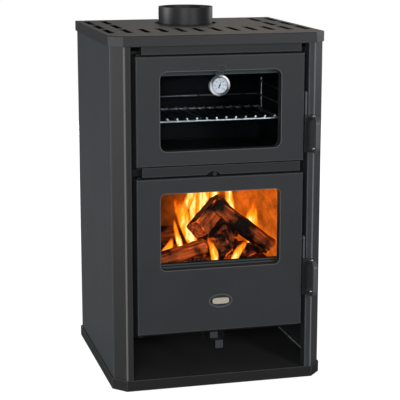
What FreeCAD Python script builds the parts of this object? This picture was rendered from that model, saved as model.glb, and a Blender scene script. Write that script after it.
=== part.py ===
import FreeCAD, Part
import math
import os
import re
import Sketcher

# A free-standing wood-burning stove with an oven over the firebox and a log store below it.
# Millimetres, +Z up, front towards -Y, origin at the middle of the base's underside.

doc = FreeCAD.newDocument("wood_stove_with_oven")

SIZES = {
    # Casing of folded sheet
    "cabinet_width": 570,
    "cabinet_depth": 524,
    "head_height": 52.5,
    "corner_across": 32.5,
    "corner_back": 36,
    "casing_sheet": 2,
    "bend_radius": 3,
    "lid_drop": 27,
    "base_rise": 29,
    "panel_inset": 3.5,
    "rear_inset": 9,
    "column_width": 17.5,
    "screw_radius": 4,
    "screw_head": 2.5,
    # Slots in the lid and vents in the rear panel
    "slot_width": 17,
    "slot_side_margin": 23.2,
    "slot_front_margin": 153,
    "slot_rear_margin": 97,
    "slot_bridge": 23,
    "vent_width": 8,
    "vent_height": 110,
    "vent_pitch": 36,
    "vent_low": 190,
    "vent_drop": 180,
    # Flue collar
    "flue_radius": 75,
    "flue_wall": 3,
    "flue_rise": 45,
    "flue_from_rear": 144,
    "flue_gap": 10.5,
    "flue_hole_play": 2,
    "flue_flange_width": 20,
    "flue_flange_sheet": 4,
    # Log store
    "store_floor_rise": 26,
    "store_height": 110,
    "store_flange": 20,
    "air_way_width": 80,
    "air_way_depth": 50,
    "side_way_width": 30,
    "side_way_margin": 40,
    # Welded body and its front frame
    "frame_setback": 33,
    "frame_sheet": 4,
    "body_overlap": 3,
    "body_sheet": 4,
    "body_rear_gap": 29,
    "lid_gap": 38,
    "opening_side": 31.5,
    "opening_margin": 20,
    "opening_corner": 6,
    "rail_setback": 14,
    "rail_sheet": 3,
    "rail_gap": 4,
    "rail_left_inset": 17.4,
    "rail_right_inset": 5.9,
    "rail_lid_lap": 8,
    "notch_width": 36,
    "notch_height": 8.5,
    "notch_offset": 17,
    # Oven
    "oven_depth": 258,
    "oven_sheet": 2,
    "runner_radius": 2.5,
    "runner_inset": 8,
    "runner_standoff": 4,
    "runner_end_margin": 20,
    "runner_rise": 79.2,
    "runner_pitch": 38,
    "rack_wire_radius": 1.75,
    "rack_front_gap": 8,
    "rack_rear_gap": 15,
    "rack_clearance": 0.3,
    # Firebox
    "brick_thickness": 28,
    "brick_joint": 0.5,
    "brick_front_gap": 4,
    "smoke_passage": 54,
    "baffle_sheet": 8,
    "baffle_mouth": 93,
    "bypass_width": 140,
    "bypass_depth": 40,
    "bypass_rear_gap": 45,
    "grate_rise": 116,
    "grate_thickness": 12,
    "grate_width": 250,
    "grate_depth": 230,
    "grate_setback": 88,
    "grate_ledge": 9,
    "grate_slot": 12,
    "grate_border": 19,
    "shelf_sheet": 6,
    # Ash drawer
    "drawer_width": 300,
    "drawer_depth": 388,
    "drawer_height": 86,
    "drawer_sheet": 1.5,
    "drawer_setback": 15,
    "drawer_clearance": 0.3,
    "drawer_lip_width": 80,
    "drawer_lip_reach": 8,
    "drawer_lip_rise": 46,
    # Damper between firebox and flue
    "damper_rise": 8,
    "damper_sheet": 3,
    "damper_lap": 10,
    "damper_clearance": 0.3,
    "damper_arm": 59,
    "damper_arm_width": 24,
    "damper_upstand": 12,
    "rod_radius": 3,
    "rod_clearance": 0.3,
    "knob_radius": 5.5,
    "knob_length": 9,
    "knob_setback": 3,
    # Air slides under the firebox
    "slide_width": 21,
    "slide_sheet": 4,
    "slide_clearance": 0.4,
    "primary_drop": 10,
    "primary_setback": 60,
    "primary_tab": 17,
    "primary_offset": -3,
    "primary_back": 275,
    "secondary_drop": 28.5,
    "secondary_setback": 42,
    "secondary_tab": 21.5,
    "secondary_offset": 6.8,
    "secondary_back": 445,
    "shutter_width": 110,
    "shutter_depth": 70,
    "shutter_clearance": 0.3,
    "shutter_travel": 50,
    "hanger_width": 64,
    "hanger_sheet": 3,
    "hanger_setback": 80,
    "hanger_gap": 10,
    "guide_lip": 5,
    # Doors
    "door_gap": 11.5,
    "door_setback": 2.5,
    "door_depth": 26,
    "door_sheet": 3,
    "door_round": 2.5,
    "door_above_store": 13,
    "fire_door_height": 410.5,
    "oven_door_height": 279.5,
    "door_spacing": 32.5,
    "window_stile": 62,
    "window_head": 39.5,
    "oven_window_sill": 37,
    "fire_window_sill": 169,
    "oven_window_corner": 19,
    "fire_window_corner": 14,
    "liner_sheet": 2,
    "glass_sheet": 4,
    "glass_lap": 10,
    "retainer_sheet": 2,
    "retainer_leg": 6.5,
    "retainer_reach": 8,
    "retainer_head_reach": 23,
    "retainer_sill_reach": 23,
    "retainer_screw_radius": 2.5,
    "retainer_screw_head": 1.2,
    "seal_offset": 5,
    "seal_width": 10,
    "seal_clearance": 0.3,
    "seal_round": 1.5,
    # Hinges
    "hinge_inset": 6.4,
    "hinge_setback": 8.5,
    "hinge_gap": 1,
    "lug_sheet": 4,
    "lug_width": 13,
    "pin_radius": 3,
    "pin_head_radius": 5,
    "pin_head": 2,
    "pin_reach": 12,
    "pin_clearance": 0.05,
    "boss_width": 13,
    # Latches and handles
    "oven_latch_lift": 33.25,
    "fire_latch_lift": 27.25,
    "latch_setback": 6.5,
    "lever_gap": 2.6,
    "lever_sheet": 5,
    "lever_width": 16,
    "lever_tail": 100,
    "pivot_radius": 4,
    "pivot_head_radius": 6.5,
    "pivot_head": 2,
    "pivot_clearance": 0.05,
    "pivot_play": 0.3,
    "hook_reach": 22,
    "hook_arm": 8,
    "hook_nose": 5,
    "hook_rise": 8,
    "catch_gap": 0.5,
    "catch_lip": 4.5,
    "catch_low": 2,
    "catch_bridge": 10,
    "catch_high": 16,
    "catch_side": 0.5,
    "handle_plate_sheet": 4,
    "handle_plate_gap": 1,
    "handle_plate_lap": 2,
    "handle_plate_reach": 20.5,
    "handle_plate_height": 98,
    "handle_drop": 54,
    "bow_width": 12,
    "bow_thickness": 9,
    "bow_height": 94,
    "bow_reach": 43.5,
    "bow_corner": 18,
    "bow_round": 1.5,
    "ferrule_radius": 6,
    "ferrule_length": 11,
    # Thermometer in the oven window
    "thermometer_radius": 27.5,
    "thermometer_drop": 39.5,
    "thermometer_setback": 13.5,
    "thermometer_depth": 11.7,
    "thermometer_wall": 6.5,
    "thermometer_floor": 1.5,
    "bezel_round": 2.6,
    "lens_setback": 0.6,
    "lens_sheet": 1.2,
    "dial_setback": 4,
    "dial_sheet": 0.8,
    "dial_ledge": 2,
    "needle_length": 13,
    "needle_tail": 8,
    "needle_width": 3.2,
    "needle_sheet": 0.8,
    "needle_gap": 0.6,
    "needle_hub": 2.2,
    "needle_angle": 23,
    "spindle_radius": 1,
    "spindle_length": 4,
    "bracket_width": 21,
    "bracket_sheet": 1.8,
    "bracket_tab": 15,
    # Plain oval plate on the fire door
    "badge_width": 52,
    "badge_height": 20,
    "badge_sheet": 2,
    "badge_rise": 79.5,
    "badge_recess": 1.2,
    "badge_recess_width": 61,
    "badge_recess_height": 34,
}

PLACES = {
    # Depths, from the lid's front edge to its rear edge
    "front": "-cabinet_depth / 2",
    "rear": "cabinet_depth / 2",
    "column_face": "front + panel_inset",
    "door_face": "front + door_setback",
    "door_rear": "door_face + door_depth",
    "glass_rear": "door_rear + glass_sheet",
    "frame_front": "front + frame_setback",
    "frame_rear": "frame_front + frame_sheet",
    "rail_face": "front + rail_setback",
    "rear_outer": "rear - rear_inset",
    "rear_inner": "rear_outer - casing_sheet",
    "body_rear": "rear_inner - body_rear_gap",
    "body_back": "body_rear - body_sheet",
    "oven_back": "frame_rear + oven_depth",
    "flue_y": "rear - flue_from_rear",
    # Widths, from the middle outwards
    "half_width": "cabinet_width / 2",
    "corner_diagonal": "sqrt(corner_across ^ 2 + corner_back ^ 2)",
    "corner_front_run": "(corner_diagonal - corner_across) / corner_back",
    "corner_side_run": "(corner_diagonal - corner_back) / corner_across",
    "side_outer": "half_width - panel_inset",
    "side_inner": "side_outer - casing_sheet",
    "column_outer": "half_width - corner_across - panel_inset * corner_front_run",
    "column_inner": "column_outer - column_width",
    "door_half": "column_inner - door_gap",
    "window_half": "door_half - window_stile",
    "opening_half": "door_half - opening_side",
    "body_half": "column_inner + body_overlap",
    "body_inner": "body_half - body_sheet",
    "brick_inner": "body_inner - brick_thickness",
    # Heights, from the floor upwards
    "ceiling_under": "store_floor_rise + store_height",
    "ceiling_top": "ceiling_under + casing_sheet",
    "fire_bottom": "ceiling_under + door_above_store",
    "fire_top": "fire_bottom + fire_door_height",
    "oven_bottom": "fire_top + door_spacing",
    "oven_top": "oven_bottom + oven_door_height",
    "lid_top": "oven_top + head_height",
    "lid_under": "lid_top - casing_sheet",
    "lid_edge": "lid_top - lid_drop",
    "body_top": "lid_under - lid_gap",
    "body_ceiling": "body_top - body_sheet",
    "ash_floor": "fire_bottom + opening_margin",
    "fire_mouth_top": "fire_top - opening_margin",
    "oven_floor": "oven_bottom + opening_margin",
    "oven_roof": "oven_top - opening_margin",
    "baffle_top": "oven_floor - oven_sheet - smoke_passage",
    "brick_top": "baffle_top - baffle_sheet",
    "grate_top": "ash_floor + grate_rise",
    "shelf_top": "grate_top - grate_thickness",
    "rack_level": "oven_floor + runner_rise + 3 * runner_radius + rack_clearance",
    "damper_level": "fire_top + damper_rise",
    "damper_under": "baffle_top + damper_clearance",
    "oven_window_top": "oven_top - window_head",
    "oven_latch": "oven_bottom + oven_door_height / 2 + oven_latch_lift",
    "fire_latch": "fire_bottom + fire_door_height / 2 + fire_latch_lift",
    "thermometer_level": "oven_window_top - thermometer_drop",
    # Places shared by pieces that fit together
    "slot_pitch": "(cabinet_width - 2 * slot_side_margin) / 11",
    "slot_row_pitch": "(cabinet_depth - slot_front_margin - slot_rear_margin) / 2",
    "slot_length": "slot_row_pitch - slot_bridge",
    "grate_front": "frame_rear + grate_setback",
    "bypass_back": "body_back - bypass_rear_gap",
    "hinge_x": "hinge_inset - door_half",
    "hinge_y": "door_face + hinge_setback",
    "lever_left": "door_half + lever_gap",
    "lever_right": "lever_left + lever_sheet",
    "latch_y": "door_face + latch_setback",
    "latch_front": "latch_y - lever_width / 2",
    "hook_end": "latch_y + hook_reach",
    "hook_face": "hook_end - hook_nose",
    "plate_rear": "column_face - handle_plate_gap",
    "plate_front": "plate_rear - handle_plate_sheet",
    "bow_left": "lever_right + handle_plate_reach - bow_width",
    "shutter_top": "ceiling_under - shutter_clearance",
    "shutter_under": "shutter_top - slide_sheet",
    "thermometer_face": "door_face + thermometer_setback",
    "dial_face": "thermometer_face + dial_setback",
}

sizes = doc.addObject("Spreadsheet::Sheet", "Sizes")
for row, (alias, size) in enumerate(SIZES.items(), 1):
    sizes.set(f"A{row}", alias)
    sizes.set(f"B{row}", str(size))
    sizes.setAlias(f"B{row}", alias)

places = doc.addObject("Spreadsheet::Sheet", "Places")
for row, (alias, formula) in enumerate(PLACES.items(), 1):
    own = re.sub(r"[a-z_]+", lambda word: f"Sizes.{word[0]}" if word[0] in SIZES else word[0], formula)
    places.set(f"A{row}", alias)
    places.set(f"B{row}", f"={own}")
    places.setAlias(f"B{row}", alias)
doc.recompute()

nodes = []
AXES = {"XY_Plane": 1, "XZ_Plane": -1, "YZ_Plane": 1}
TURNS = {
    "X": FreeCAD.Rotation(FreeCAD.Vector(0, 1, 0), 90),
    "Y": FreeCAD.Rotation(FreeCAD.Vector(1, 0, 0), -90),
    "Z": FreeCAD.Rotation(),
}


def bound(formula):
    """A formula of plain names, written as an expression of the two sheets."""
    def home(word):
        sheet = "Sizes." if word[0] in SIZES else "Places." if word[0] in PLACES else ""
        return sheet + word[0]
    return re.sub(r"[a-z_]+", home, str(formula))


def value(formula):
    """The number that a formula gives now."""
    return float(sizes.evalExpression(bound(formula)))


def node(shape):
    """Keep a finished piece as one of the stove's sub-parts."""
    shape.Label = shape.Name
    nodes.append(shape)
    return shape


def block(name, x, y, z):
    """A box between a low and a high formula on each axis."""
    box = doc.addObject("Part::Box", name)
    for side, axis, (low, high) in zip(("Length", "Width", "Height"), "xyz", (x, y, z)):
        box.setExpression(side, bound(f"({high}) - ({low})"))
        box.setExpression(f"Placement.Base.{axis}", bound(low))
    return box


def rod(name, axis, start, radius, length):
    """A cylinder from a start point along one axis."""
    cylinder = doc.addObject("Part::Cylinder", name)
    cylinder.Placement = FreeCAD.Placement(FreeCAD.Vector(), TURNS[axis])
    cylinder.setExpression("Radius", bound(radius))
    cylinder.setExpression("Height", bound(length))
    for side, place in zip("xyz", start):
        cylinder.setExpression(f"Placement.Base.{side}", bound(place))
    return cylinder


def fuse(name, *shapes):
    joined = doc.addObject("Part::MultiFuse", name)
    joined.Shapes = list(shapes)
    return joined


def cut(name, base, *tools):
    trimmed = doc.addObject("Part::Cut", name)
    trimmed.Base = base
    trimmed.Tool = tools[0] if len(tools) == 1 else fuse(f"{name}_holes", *tools)
    return trimmed


def group(name, *shapes):
    """Separate solids of one kind that share a sub-part."""
    together = doc.addObject("Part::Compound", name)
    together.Links = list(shapes)
    return together


def body(name):
    return doc.addObject("PartDesign::Body", name)


def drawing(owner, plane, level):
    """An empty sketch on one of the body's own planes, moved to a level along its axis."""
    sketch = owner.newObject("Sketcher::SketchObject", f"{owner.Name}_sketch")
    plane_feature = next(part for part in owner.Origin.OriginFeatures if part.Role == plane)
    sketch.AttachmentSupport = [(plane_feature, "")]
    sketch.MapMode = "FlatFace"
    sketch.setExpression("AttachmentOffset.Base.z", bound(f"{AXES[plane]} * ({level})"))
    return sketch


def hold(sketch, kind, formula, *where):
    """A dimension of the sketch that follows a formula."""
    index = sketch.addConstraint(Sketcher.Constraint(kind, *where, value(formula)))
    sketch.setExpression(f"Constraints[{index}]", bound(formula))


def polygon(sketch, points):
    """A closed outline whose corners follow their formulas."""
    corners = [FreeCAD.Vector(value(across), value(along), 0) for across, along in points]
    first = sketch.GeometryCount
    count = len(corners)
    for step in range(count):
        sketch.addGeometry(Part.LineSegment(corners[step], corners[(step + 1) % count]), False)
    for step, (across, along) in enumerate(points):
        ahead = first + (step + 1) % count
        sketch.addConstraint(Sketcher.Constraint("Coincident", first + step, 2, ahead, 1))
        hold(sketch, "DistanceX", across, -1, 1, first + step, 1)
        hold(sketch, "DistanceY", along, -1, 1, first + step, 1)


def rectangle(sketch, across, along):
    (left, right), (low, high) = across, along
    polygon(sketch, [(left, low), (right, low), (right, high), (left, high)])


def rounded(sketch, across, along, radius):
    """A rectangle with its four corners rounded."""
    left, right = (value(edge) for edge in across)
    low, high = (value(edge) for edge in along)
    turn = value(radius)
    first = sketch.GeometryCount
    sides = [
        ((left + turn, low), (right - turn, low)),
        ((right, low + turn), (right, high - turn)),
        ((right - turn, high), (left + turn, high)),
        ((left, high - turn), (left, low + turn)),
    ]
    centres = [(right - turn, low + turn), (right - turn, high - turn)]
    centres += [(left + turn, high - turn), (left + turn, low + turn)]
    for start, end in sides:
        sketch.addGeometry(Part.LineSegment(FreeCAD.Vector(*start), FreeCAD.Vector(*end)), False)
    for quarter, centre in enumerate(centres):
        circle = Part.Circle(FreeCAD.Vector(*centre), FreeCAD.Vector(0, 0, 1), turn)
        start = (quarter - 1) * math.pi / 2
        sketch.addGeometry(Part.ArcOfCircle(circle, start, start + math.pi / 2), False)
    for quarter in range(4):
        line = first + quarter
        arc = first + 4 + quarter
        ahead = first + (quarter + 1) % 4
        sketch.addConstraint(Sketcher.Constraint("Tangent", line, 2, arc, 1))
        sketch.addConstraint(Sketcher.Constraint("Tangent", arc, 2, ahead, 1))
        sketch.addConstraint(Sketcher.Constraint("Vertical" if quarter % 2 else "Horizontal", line))
        if quarter:
            sketch.addConstraint(Sketcher.Constraint("Equal", arc - 1, arc))
    hold(sketch, "Radius", radius, first + 4)
    hold(sketch, "DistanceY", along[0], -1, 1, first, 1)
    hold(sketch, "DistanceX", across[1], -1, 1, first + 1, 1)
    hold(sketch, "DistanceY", along[1], -1, 1, first + 2, 1)
    hold(sketch, "DistanceX", across[0], -1, 1, first + 3, 1)


def circle(sketch, across, along, radius):
    centre = FreeCAD.Vector(value(across), value(along), 0)
    ring = sketch.addGeometry(Part.Circle(centre, FreeCAD.Vector(0, 0, 1), value(radius)), False)
    hold(sketch, "Radius", radius, ring)
    hold(sketch, "DistanceX", across, -1, 1, ring, 3)
    hold(sketch, "DistanceY", along, -1, 1, ring, 3)


def oval(sketch, along, width, height):
    """An ellipse on the stove's middle line."""
    middle = FreeCAD.Vector(0, value(along), 0)
    long_end = middle + FreeCAD.Vector(value(width) / 2, 0, 0)
    short_end = middle + FreeCAD.Vector(0, value(height) / 2, 0)
    ring = sketch.addGeometry(Part.Ellipse(long_end, short_end, middle), False)
    sketch.exposeInternalGeometry(ring)
    sketch.addConstraint(Sketcher.Constraint("Horizontal", ring + 1))
    hold(sketch, "DistanceX", "0", -1, 1, ring, 3)
    hold(sketch, "DistanceY", along, -1, 1, ring, 3)
    hold(sketch, "Distance", width, ring + 1)
    hold(sketch, "Distance", height, ring + 2)


def pad(owner, sketch, length, backwards=False):
    """Raise a sketch to the given length along its plane's axis, or against it."""
    raised = owner.newObject("PartDesign::Pad", f"{owner.Name}_pad")
    raised.Profile = sketch
    raised.Reversed = backwards
    raised.setExpression("Length", bound(length))
    doc.recompute()
    return raised


def pocket(owner, sketch, length, backwards=False):
    """Cut a sketch into the body; backwards cuts along the plane's axis."""
    before = owner.Shape.Volume
    sunk = owner.newObject("PartDesign::Pocket", f"{owner.Name}_pocket")
    sunk.Profile = sketch
    sunk.Reversed = backwards
    sunk.setExpression("Length", bound(length))
    doc.recompute()
    if owner.Shape.Volume > before - 1e-6:
        raise RuntimeError(f"{owner.Name}: a pocket removed nothing")
    return sunk


def row_of(owner, feature, sketch, axis, length, count):
    """Repeat a feature in an even row."""
    pattern = owner.newObject("PartDesign::LinearPattern", f"{owner.Name}_row")
    pattern.Originals = [feature]
    pattern.Direction = (sketch, [axis])
    pattern.setExpression("Length", bound(length))
    pattern.Occurrences = count
    owner.Tip = pattern
    doc.recompute()
    return pattern


def round_edges(owner, radius, chosen):
    """Round the edges of the body whose middle point and direction are chosen."""
    tip = owner.Tip
    names = []
    for index, edge in enumerate(tip.Shape.Edges, 1):
        first, last = edge.ParameterRange
        middle = edge.valueAt((first + last) / 2)
        if chosen(middle, edge.tangentAt((first + last) / 2), edge.Length):
            names.append(f"Edge{index}")
    if not names:
        raise RuntimeError(f"{owner.Name}: no edge to round")
    soft = owner.newObject("PartDesign::Fillet", f"{owner.Name}_fillet")
    soft.Base = (tip, names)
    soft.setExpression("Radius", bound(radius))
    doc.recompute()
    return soft


def near(number, formula):
    return abs(number - value(formula)) < 0.01


def plate(name, plane, level, thickness, outline, holes=()):
    """A flat sheet on a plane's level, growing along the plane's positive axis."""
    sheet = body(name)
    sketch = drawing(sheet, plane, level)
    for shape, *where in (outline, *holes):
        shape(sketch, *where)
    pad(sheet, sketch, thickness, backwards=plane == "XZ_Plane")
    return sheet


def footprint(inset, rear_edge):
    """The casing's plan, with its two cut front corners, moved in by an even amount."""
    side = f"half_width - ({inset})"
    turn_x = f"half_width - corner_across - ({inset}) * corner_front_run"
    turn_y = f"front + corner_back + ({inset}) * corner_side_run"
    face = f"front + ({inset})"
    right = [(side, rear_edge), (side, turn_y), (turn_x, face)]
    left = [(f"-({across})", along) for across, along in reversed(right)]
    return right + left


# Base tray: the folded plinth that stands on the floor
base_tray = body("base_tray")
base_outline = drawing(base_tray, "XY_Plane", "0")
polygon(base_outline, footprint("0", "rear"))
pad(base_tray, base_outline, "base_rise")
base_hollow = drawing(base_tray, "XY_Plane", "base_rise")
polygon(base_hollow, footprint("casing_sheet", "rear - casing_sheet"))
pocket(base_tray, base_hollow, "base_rise - casing_sheet")
node(base_tray)


def stepped_plan(narrow, face):
    """A plan as wide as the casing inside, and narrower between the two front columns."""
    wide = "side_inner"
    step = "front + corner_back + (panel_inset + casing_sheet) * corner_side_run"
    right = [(wide, "rear_inner"), (wide, step), (narrow, step), (narrow, face)]
    left = [(f"-({across})", along) for across, along in reversed(right)]
    return right + left


# Log store floor: an upturned tray lying on the base between the side panels
store_floor = body("store_floor")
floor_plan = drawing(store_floor, "XY_Plane", "casing_sheet")
polygon(floor_plan, stepped_plan("column_inner", "front + casing_sheet"))
pad(store_floor, floor_plan, "store_floor_rise - casing_sheet")
floor_hollow = drawing(store_floor, "XY_Plane", "casing_sheet")
rectangle(floor_hollow, ("casing_sheet - column_inner", "column_inner - casing_sheet"),
          ("front + 2 * casing_sheet", "rear_inner - casing_sheet"))
pocket(store_floor, floor_hollow, "store_floor_rise - 2 * casing_sheet", backwards=True)
node(store_floor)


def side_panel(name, hand):
    """A side of the casing, folded round the cut corner into a narrow front column."""
    outer = footprint("panel_inset", "rear_outer")[:3]
    inner = footprint("panel_inset + casing_sheet", "rear_outer")[:3]
    fold = [("column_inner", "column_face"), ("column_inner", "frame_front")]
    fold += [("column_inner + casing_sheet", "frame_front")]
    fold += [("column_inner + casing_sheet", "column_face + casing_sheet")]
    outline = [(f"{hand} * ({across})", along) for across, along in outer + fold + inner[::-1]]
    panel = body(name)
    plan = drawing(panel, "XY_Plane", "casing_sheet")
    polygon(plan, outline)
    pad(panel, plan, "lid_under - casing_sheet")
    bends = outer[1:] + fold[:1]

    def on_bend(middle, direction, length):
        at_bend = [near(hand * middle.x, across) and near(middle.y, along) for across, along in bends]
        return abs(direction.z) > 0.9 and any(at_bend)
    round_edges(panel, "bend_radius", on_bend)
    return node(panel)


side_panel("side_panel_left", -1)
side_panel("side_panel_right", 1)

# Rear panel with two rows of upright vents, and the screws that hold it
rear_panel = plate("rear_panel", "XZ_Plane", "rear_inner", "casing_sheet",
                   (rectangle, ("-side_inner", "side_inner"), ("casing_sheet", "lid_under")))
VENTS = 11
for vent_bottom in ("vent_low", "lid_top - vent_drop"):
    vent = drawing(rear_panel, "XZ_Plane", "rear_inner")
    vent_left = f"-vent_pitch * {(VENTS - 1) / 2} - vent_width / 2"
    rectangle(vent, (vent_left, f"{vent_left} + vent_width"), (vent_bottom, f"{vent_bottom} + vent_height"))
    first_vent = pocket(rear_panel, vent, "casing_sheet")
    row_of(rear_panel, first_vent, vent, "H_Axis", f"vent_pitch * {VENTS - 1}", VENTS)
node(rear_panel)

# Top plate: a folded lid with convection slots and a hole round the flue
top_plate = body("top_plate")
lid_outline = drawing(top_plate, "XY_Plane", "lid_edge")
polygon(lid_outline, footprint("0", "rear"))
pad(top_plate, lid_outline, "lid_drop")
round_edges(top_plate, "casing_sheet", lambda middle, along, length: near(middle.z, "lid_top"))
lid_hollow = drawing(top_plate, "XY_Plane", "lid_edge")
polygon(lid_hollow, footprint("casing_sheet", "rear - casing_sheet"))
pocket(top_plate, lid_hollow, "lid_drop - casing_sheet", backwards=True)
flue_hole = drawing(top_plate, "XY_Plane", "lid_top")
circle(flue_hole, "0", "flue_y", "flue_radius + flue_gap")
pocket(top_plate, flue_hole, "casing_sheet")


def lid_slots(column, slot_row, count):
    """An even row of slots that starts at one column of one row."""
    slot = drawing(top_plate, "XY_Plane", "lid_top")
    across = f"slot_side_margin - half_width + {column} * slot_pitch"
    along = f"front + slot_front_margin + {slot_row} * slot_row_pitch"
    rectangle(slot, (f"{across} - slot_width / 2", f"{across} + slot_width / 2"),
              (f"{along} - slot_length / 2", f"{along} + slot_length / 2"))
    first_slot = pocket(top_plate, slot, "casing_sheet")
    row_of(top_plate, first_slot, slot, "H_Axis", f"{count - 1} * slot_pitch", count)


lid_slots(0, 0, 12)
for rear_row in (1, 2):
    lid_slots(0, rear_row, 2)
    lid_slots(10, rear_row, 2)
node(top_plate)

# Flue collar: a tube on a round flange that sits on the body's top
flue_collar = body("flue_collar")
collar_tube = drawing(flue_collar, "XY_Plane", "body_top")
circle(collar_tube, "0", "flue_y", "flue_radius")
pad(flue_collar, collar_tube, "lid_top + flue_rise - body_top")
collar_flange = drawing(flue_collar, "XY_Plane", "body_top")
circle(collar_flange, "0", "flue_y", "flue_radius + flue_flange_width")
pad(flue_collar, collar_flange, "flue_flange_sheet")
collar_bore = drawing(flue_collar, "XY_Plane", "body_top")
circle(collar_bore, "0", "flue_y", "flue_radius - flue_wall")
pocket(flue_collar, collar_bore, "lid_top + flue_rise - body_top", backwards=True)
node(flue_collar)

# Screws of the rear panel, down its two edges, and bolts of the flue flange
screws = []
SCREWS_PER_EDGE = 5
for hand in (-1, 1):
    for step in range(SCREWS_PER_EDGE):
        height = f"base_rise + 30 + (lid_edge - base_rise - 60) * {step / (SCREWS_PER_EDGE - 1)}"
        place = (f"{hand} * (side_inner - 3 * screw_radius)", "rear_outer", height)
        screws.append(rod(f"rear_screw_{len(screws)}", "Y", place, "screw_radius", "screw_head"))
for turn in (45, 135, 225, 315):
    reach = "(flue_radius + flue_flange_width / 2)"
    place = (f"{reach} * cos({turn})", f"flue_y + {reach} * sin({turn})", "body_top + flue_flange_sheet")
    screws.append(rod(f"flue_bolt_{turn}", "Z", place, "screw_radius", "2 * screw_head"))
node(group("casing_screws", *screws))

# Log store ceiling: a flanged sheet that carries the body between the side panels
air_way = ("-air_way_width / 2", "air_way_width / 2")


def air_way_span(back):
    """The depth of an air hole, in the middle of a shut shutter that ends at this depth."""
    middle = f"front + {back} - shutter_depth / 2"
    return (f"{middle} - air_way_depth / 2", f"{middle} + air_way_depth / 2")


store_ceiling = body("store_ceiling")
ceiling_plan = drawing(store_ceiling, "XY_Plane", "ceiling_under")
polygon(ceiling_plan, stepped_plan("body_half", "frame_front"))
for slide_back in ("primary_back", "secondary_back"):
    rectangle(ceiling_plan, air_way, air_way_span(slide_back))
side_way = ("frame_front + side_way_margin", "rear_inner - side_way_margin")
for hand in (-1, 1):
    edges = ["side_inner - 2 * casing_sheet", "side_inner - 2 * casing_sheet - side_way_width"]
    rectangle(ceiling_plan, [f"{hand} * ({edge})" for edge in edges], side_way)
pad(store_ceiling, ceiling_plan, "casing_sheet")
ceiling_flanges = drawing(store_ceiling, "XY_Plane", "ceiling_top")
for hand in (-1, 1):
    rectangle(ceiling_flanges, (f"{hand} * side_inner", f"{hand} * (side_inner - casing_sheet)"), side_way)
pad(store_ceiling, ceiling_flanges, "store_flange", backwards=True)
node(store_ceiling)

# Welded body round the firebox and the oven
body_depth = ("frame_rear", "body_rear")
wall_height = ("ceiling_top", "body_ceiling")
node(block("body_left_wall", ("-body_half", "-body_inner"), body_depth, wall_height))
node(block("body_right_wall", ("body_inner", "body_half"), body_depth, wall_height))
node(block("body_back_wall", ("-body_inner", "body_inner"), ("body_back", "body_rear"), wall_height))
node(cut("body_top_plate",
         block("body_top_sheet", ("-body_half", "body_half"), body_depth, ("body_ceiling", "body_top")),
         rod("body_flue_hole", "Z", ("0", "flue_y", "body_ceiling"),
             "flue_radius - flue_wall + flue_hole_play", "body_sheet")))
node(cut("body_floor_plate",
         block("body_floor_sheet", ("-body_inner", "body_inner"), ("frame_rear", "body_back"),
               ("ash_floor - body_sheet", "ash_floor")),
         block("body_floor_air", air_way, air_way_span("primary_back"),
               ("ash_floor - body_sheet", "ash_floor"))))

# Front frame with the mouths of the oven and the firebox, and the hole of the damper rod
mouth = ("-opening_half", "opening_half")
node(plate("front_frame", "XZ_Plane", "frame_front", "frame_sheet",
           (rectangle, ("-body_half", "body_half"), ("ceiling_top", "body_top")),
           ((rounded, mouth, ("oven_floor", "oven_roof"), "opening_corner"),
            (rounded, mouth, ("ash_floor", "fire_mouth_top"), "opening_corner"),
            (circle, "-notch_offset", "damper_level", "rod_radius + rod_clearance"))))


def rail(name, bottom, top):
    """A folded channel across the front frame, open to the back."""
    across = ("rail_left_inset - door_half", "door_half - rail_right_inset")
    inside = (f"{across[0]} + rail_sheet", f"{across[1]} - rail_sheet")
    outer = block(f"{name}_outer", across, ("rail_face", "frame_front"), (bottom, top))
    hollow = block(f"{name}_hollow", inside, ("rail_face + rail_sheet", "frame_front"),
                   (f"{bottom} + rail_sheet", f"{top} - rail_sheet"))
    return outer, hollow


# Rails above and between the doors; the lower one is notched round the damper knob
node(cut("top_rail", *rail("top_rail", "oven_top + rail_gap", "lid_edge + rail_lid_lap")))
notch_radius = "((notch_width / 2) ^ 2 + notch_height ^ 2) / (2 * notch_height)"
notch_centre = f"fire_top + rail_gap + notch_height - {notch_radius}"
node(cut("middle_rail", *rail("middle_rail", "fire_top + rail_gap", "oven_bottom - rail_gap"),
         rod("rail_notch", "Y", ("-notch_offset", "rail_face", notch_centre), notch_radius,
             "frame_front - rail_face")))

# Oven box, open towards its door
oven_span = ("-opening_half", "opening_half")
node(cut("oven_box",
         block("oven_outer", ("-opening_half - oven_sheet", "opening_half + oven_sheet"),
               ("frame_rear", "oven_back + oven_sheet"),
               ("oven_floor - oven_sheet", "oven_roof + oven_sheet")),
         block("oven_hollow", oven_span, ("frame_rear", "oven_back"), ("oven_floor", "oven_roof"))))


def wire_runner(name, hand):
    """Bent wires on one oven wall that carry a rack at three levels."""
    wires = []
    run = "oven_depth - 2 * runner_end_margin"
    start = "frame_rear + runner_end_margin"
    inner = f"{hand} * (opening_half - runner_inset)"
    outer = f"{hand} * (opening_half - runner_standoff)"
    low = "oven_floor + runner_rise + runner_radius"
    for level in range(3):
        height = f"{low} + {level} * runner_pitch"
        wires.append(rod(f"{name}_rail_{level}", "Y", (inner, start, height), "runner_radius", run))
    for end, place in enumerate((f"{start} + 10", f"{start} + {run} - 10")):
        wires.append(rod(f"{name}_post_{end}", "Z", (outer, place, f"{low} - 10"), "runner_radius",
                         "2 * runner_pitch + 20"))
        for level in (0, 2):
            peg_x = "opening_half - runner_standoff" if hand > 0 else "-opening_half"
            peg = (peg_x, place, f"{low} + {level} * runner_pitch")
            wires.append(rod(f"{name}_peg_{end}_{level}", "X", peg, "runner_radius", "runner_standoff"))
    return fuse(name, *wires)


node(group("oven_rack_runners", wire_runner("runner_left", -1), wire_runner("runner_right", 1)))

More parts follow.
